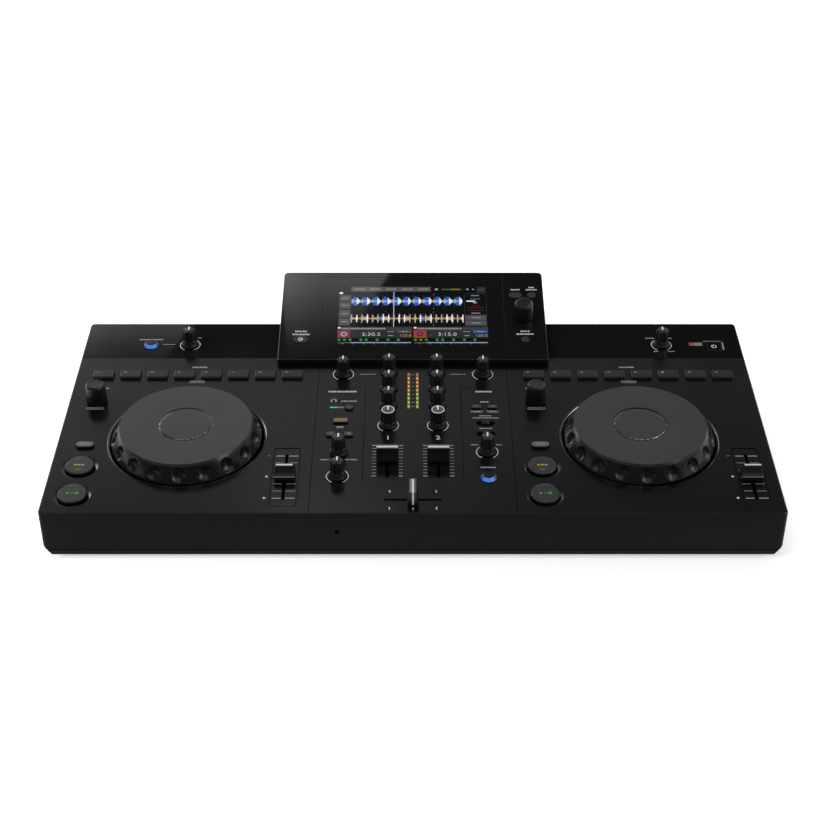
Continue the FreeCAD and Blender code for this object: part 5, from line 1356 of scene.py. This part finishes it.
class CONSOLE_OT_stage(bpy.types.Operator):
    """Floor, lamps, white surroundings and camera"""

    bl_idname = "console.stage"
    bl_label = "Stage"

    # Sheets that only gloss reflects: name, corners in metres and strength, then the levels at places
    # across and up the sheet where those vary.
    CARDS = (
        ("grey backdrop", ((-4, 2, 1.17), (0.2, 2, 1.17), (4, 2, 0.6), (4, 2, 7), (-4, 2, 7)), 1.3,
         ((-1.0, 0.6), (-0.4, 1.0), (-0.1, 0.80), (0.3, 0.40), (0.9, 0.31)),
         ((1.17, 0.02), (1.385, 0.02), (1.41, 0.60), (1.50, 0.48), (1.58, 0.36), (1.83, 0.24),
          (2.2, 0.06))),
        ("front flag", wall((-4, -2.2, 0), (4, -2.2, 2.7)), 0.1),
        ("left flag", wall((-2.2, -2.2, 0.4), (-2.2, 1.6, 4)), 0.1),
        ("right flag", wall((2.2, -2.2, 0.4), (2.2, 1.6, 4)), 0.3),
        ("floor flag", ((-0.6, -2.2, 0.012), (0.6, -2.2, 0.012), (0.6, -0.24, 0.012), (-0.6, -0.24, 0.012)),
         0.12),
        ("low left band", wall((-4, 1.95, 0.25), (-0.9, 1.95, 1.36)), 3),
        ("right lamp", wall((2.1, -1.6, 1.1), (2.1, 1.3, 3.6)), 2.6),
        ("strip card", ((-0.75, 1, 0.60), (-0.345, 1, 0.60), (-0.415, 1, 0.69), (-0.75, 1, 0.69)), 1.0,
         ((-0.53, 1.0), (-0.50, 0.72), (-0.45, 0.56), (-0.38, 0.54)),
         ((0.60, 1.0), (0.63, 0.95), (0.64, 0.75), (0.66, 0.46), (0.68, 0.31), (0.70, 0.2))),
        ("display card", ((-0.24, 1, 1.045), (-0.038, 1, 1.045), (-0.156, 1, 1.33), (-0.24, 1, 1.33)), 2.4,
         ((-0.24, 1.0), (-0.22, 0.92), (-0.19, 0.71), (-0.15, 0.526), (-0.03, 0.526)),
         ((1.04, 1.0), (1.06, 0.95), (1.10, 0.80), (1.13, 0.57), (1.17, 0.40), (1.21, 0.24), (1.27, 0.08),
          (1.33, 0.01))),
    )
    # What the lamps are aimed at.
    AIM = Vector((0, 0, 0.05))

    def execute(self, context):
        scene = context.scene
        self.add_floor(scene)
        self.set_world(scene)
        self.add_lamp(scene, "key", (-0.5, 1.2, 2.2), (1.6, 1.0), 24)
        self.add_lamp(scene, "side", (-2.0, -0.9, 1.4), (1.6, 1.0), 24)
        for card in self.CARDS:
            self.add_card(scene, *card)
        self.add_camera(scene)
        scene.view_settings.view_transform = "Standard"
        return {"FINISHED"}

    def mesh_of(self, name, shape, finish):
        mesh = bpy.data.meshes.new(name)
        shape.to_mesh(mesh)
        shape.free()
        mesh.materials.append(finish.material)
        return mesh

    def add_card(self, scene, name, corners, strength, across=((-5, 1), (5, 1)), up=((0, 1), (4, 1))):
        shape = bmesh.new()
        shape.faces.new([shape.verts.new(corner) for corner in corners])
        finish = Finish(name, (0, 0, 0), 1.0, shine=0.0, Emission_Strength=strength)
        spot = finish.node("ShaderNodeSeparateXYZ", {}, {0: finish.place()}).outputs
        levels = {0: self.levels(finish, spot["X"], across), 1: self.levels(finish, spot["Z"], up)}
        both = finish.node("ShaderNodeVectorMath", {"operation": "MULTIPLY"}, levels)
        finish.put("Emission Color", both.outputs[0])
        card = bpy.data.objects.new(name, self.mesh_of(name, shape, finish))
        for kind in ("camera", "diffuse", "transmission", "shadow"):
            setattr(card, "visible_" + kind, False)
        scene.collection.objects.link(card)

    def levels(self, finish, socket, stops):
        """A ramp through the levels that are given at places along a socket's value."""
        low, high = stops[0][0], stops[-1][0]
        share = (Mask(finish, socket) - low) * (1 / (high - low))
        shades = [((place - low) / (high - low), (level, level, level)) for place, level in stops]
        return finish.node("ShaderNodeValToRGB", {"stops": shades}, {"Fac": share}).outputs[0]

    def add_floor(self, scene):
        """A white floor, lit up a little more where the camera and gloss see it."""
        shape = bmesh.new()
        bmesh.ops.create_grid(shape, x_segments=1, y_segments=1, size=6)
        finish = Finish("floor", (0.86, 0.86, 0.86), 0.9, shine=0.0)
        finish.put("Base Color", finish.mix(finish.noise(3.0), (0.85, 0.85, 0.85), (0.87, 0.87, 0.87)))
        plain = finish.shader.outputs[0]
        lift = finish.node("ShaderNodeEmission", {}, {"Strength": 0.52})
        both = finish.node("ShaderNodeAddShader", {}, {0: plain, 1: lift.outputs[0]})
        camera, glossy = finish.rays("Camera", "Glossy")
        pick = finish.node("ShaderNodeMixShader", {}, {0: camera + glossy, 1: plain, 2: both.outputs[0]})
        finish.feed(finish.tree.nodes["Material Output"].inputs["Surface"], pick.outputs[0])
        floor = bpy.data.objects.new("floor", self.mesh_of("floor", shape, finish))
        scene.collection.objects.link(floor)

    def set_world(self, scene):
        """White surroundings that give less light than the camera and gloss see."""
        scene.world = bpy.data.worlds.new("white room")
        scene.world.use_nodes = True
        scene.world.node_tree.nodes.clear()
        room = Nodes(scene.world.node_tree)
        camera, glossy, through = room.rays("Camera", "Glossy", "Transmission")
        given = room.node("ShaderNodeBackground", {}, {"Strength": 0.72})
        seen = room.node("ShaderNodeBackground", {}, {"Strength": 1.0})
        pick = room.node("ShaderNodeMixShader", {}, {
            0: camera | glossy | through, 1: given.outputs[0], 2: seen.outputs[0]})
        room.node("ShaderNodeOutputWorld", {}, {"Surface": pick.outputs[0]})

    def add_lamp(self, scene, name, spot, size, power):
        lamp = bpy.data.lights.new(name, "AREA")
        lamp.shape = "RECTANGLE"
        lamp.size, lamp.size_y = size
        lamp.energy = power
        holder = bpy.data.objects.new(name, lamp)
        holder.location = spot
        holder.rotation_euler = (self.AIM - Vector(spot)).to_track_quat("-Z", "Y").to_euler()
        holder.visible_glossy = False
        scene.collection.objects.link(holder)

    def add_camera(self, scene):
        camera = bpy.data.cameras.new("camera")
        camera.lens = sizes().camera_lens
        camera.sensor_width = 36
        camera.clip_end = 50
        holder = bpy.data.objects.new("camera", camera)
        holder.location = (0, -1.2930, 0.9663)
        holder.rotation_euler = (radians(54.07), 0, 0)
        scene.collection.objects.link(holder)
        scene.camera = holder


OPERATORS = (
    CONSOLE_OT_stage,
    CONSOLE_OT_case,
    CONSOLE_OT_prints,
    CONSOLE_OT_jogs,
    CONSOLE_OT_knobs,
    CONSOLE_OT_encoders,
    CONSOLE_OT_transport,
    CONSOLE_OT_pads,
    CONSOLE_OT_small_keys,
    CONSOLE_OT_faders,
    CONSOLE_OT_display,
    CONSOLE_OT_screen_view,
    CONSOLE_OT_level_meter,
    CONSOLE_OT_sockets,
)


class CONSOLE_PT_sidebar(bpy.types.Panel):
    """Lists the console's sizes, colours and pieces in the sidebar"""

    bl_label = "Console"
    bl_space_type = "VIEW_3D"
    bl_region_type = "UI"
    bl_category = "Console"

    def draw(self, context):
        for group in (context.scene.console_sizes, context.scene.console_colours):
            column = self.layout.column()
            for name in group.__annotations__:
                column.prop(group, name)
        for operator in OPERATORS:
            self.layout.operator(operator.bl_idname)


CLASSES = (ConsoleSizes, ConsoleColours, *OPERATORS, CONSOLE_PT_sidebar)


def register():
    for kind in CLASSES:
        bpy.utils.register_class(kind)
    bpy.types.Scene.console_sizes = PointerProperty(type=ConsoleSizes)
    bpy.types.Scene.console_colours = PointerProperty(type=ConsoleColours)


def unregister():
    del bpy.types.Scene.console_colours
    del bpy.types.Scene.console_sizes
    for kind in reversed(CLASSES):
        bpy.utils.unregister_class(kind)


def main():
    register()
    for operator in OPERATORS:
        group, name = operator.bl_idname.split(".")
        getattr(getattr(bpy.ops, group), name)()


if __name__ == "__main__":
    main()
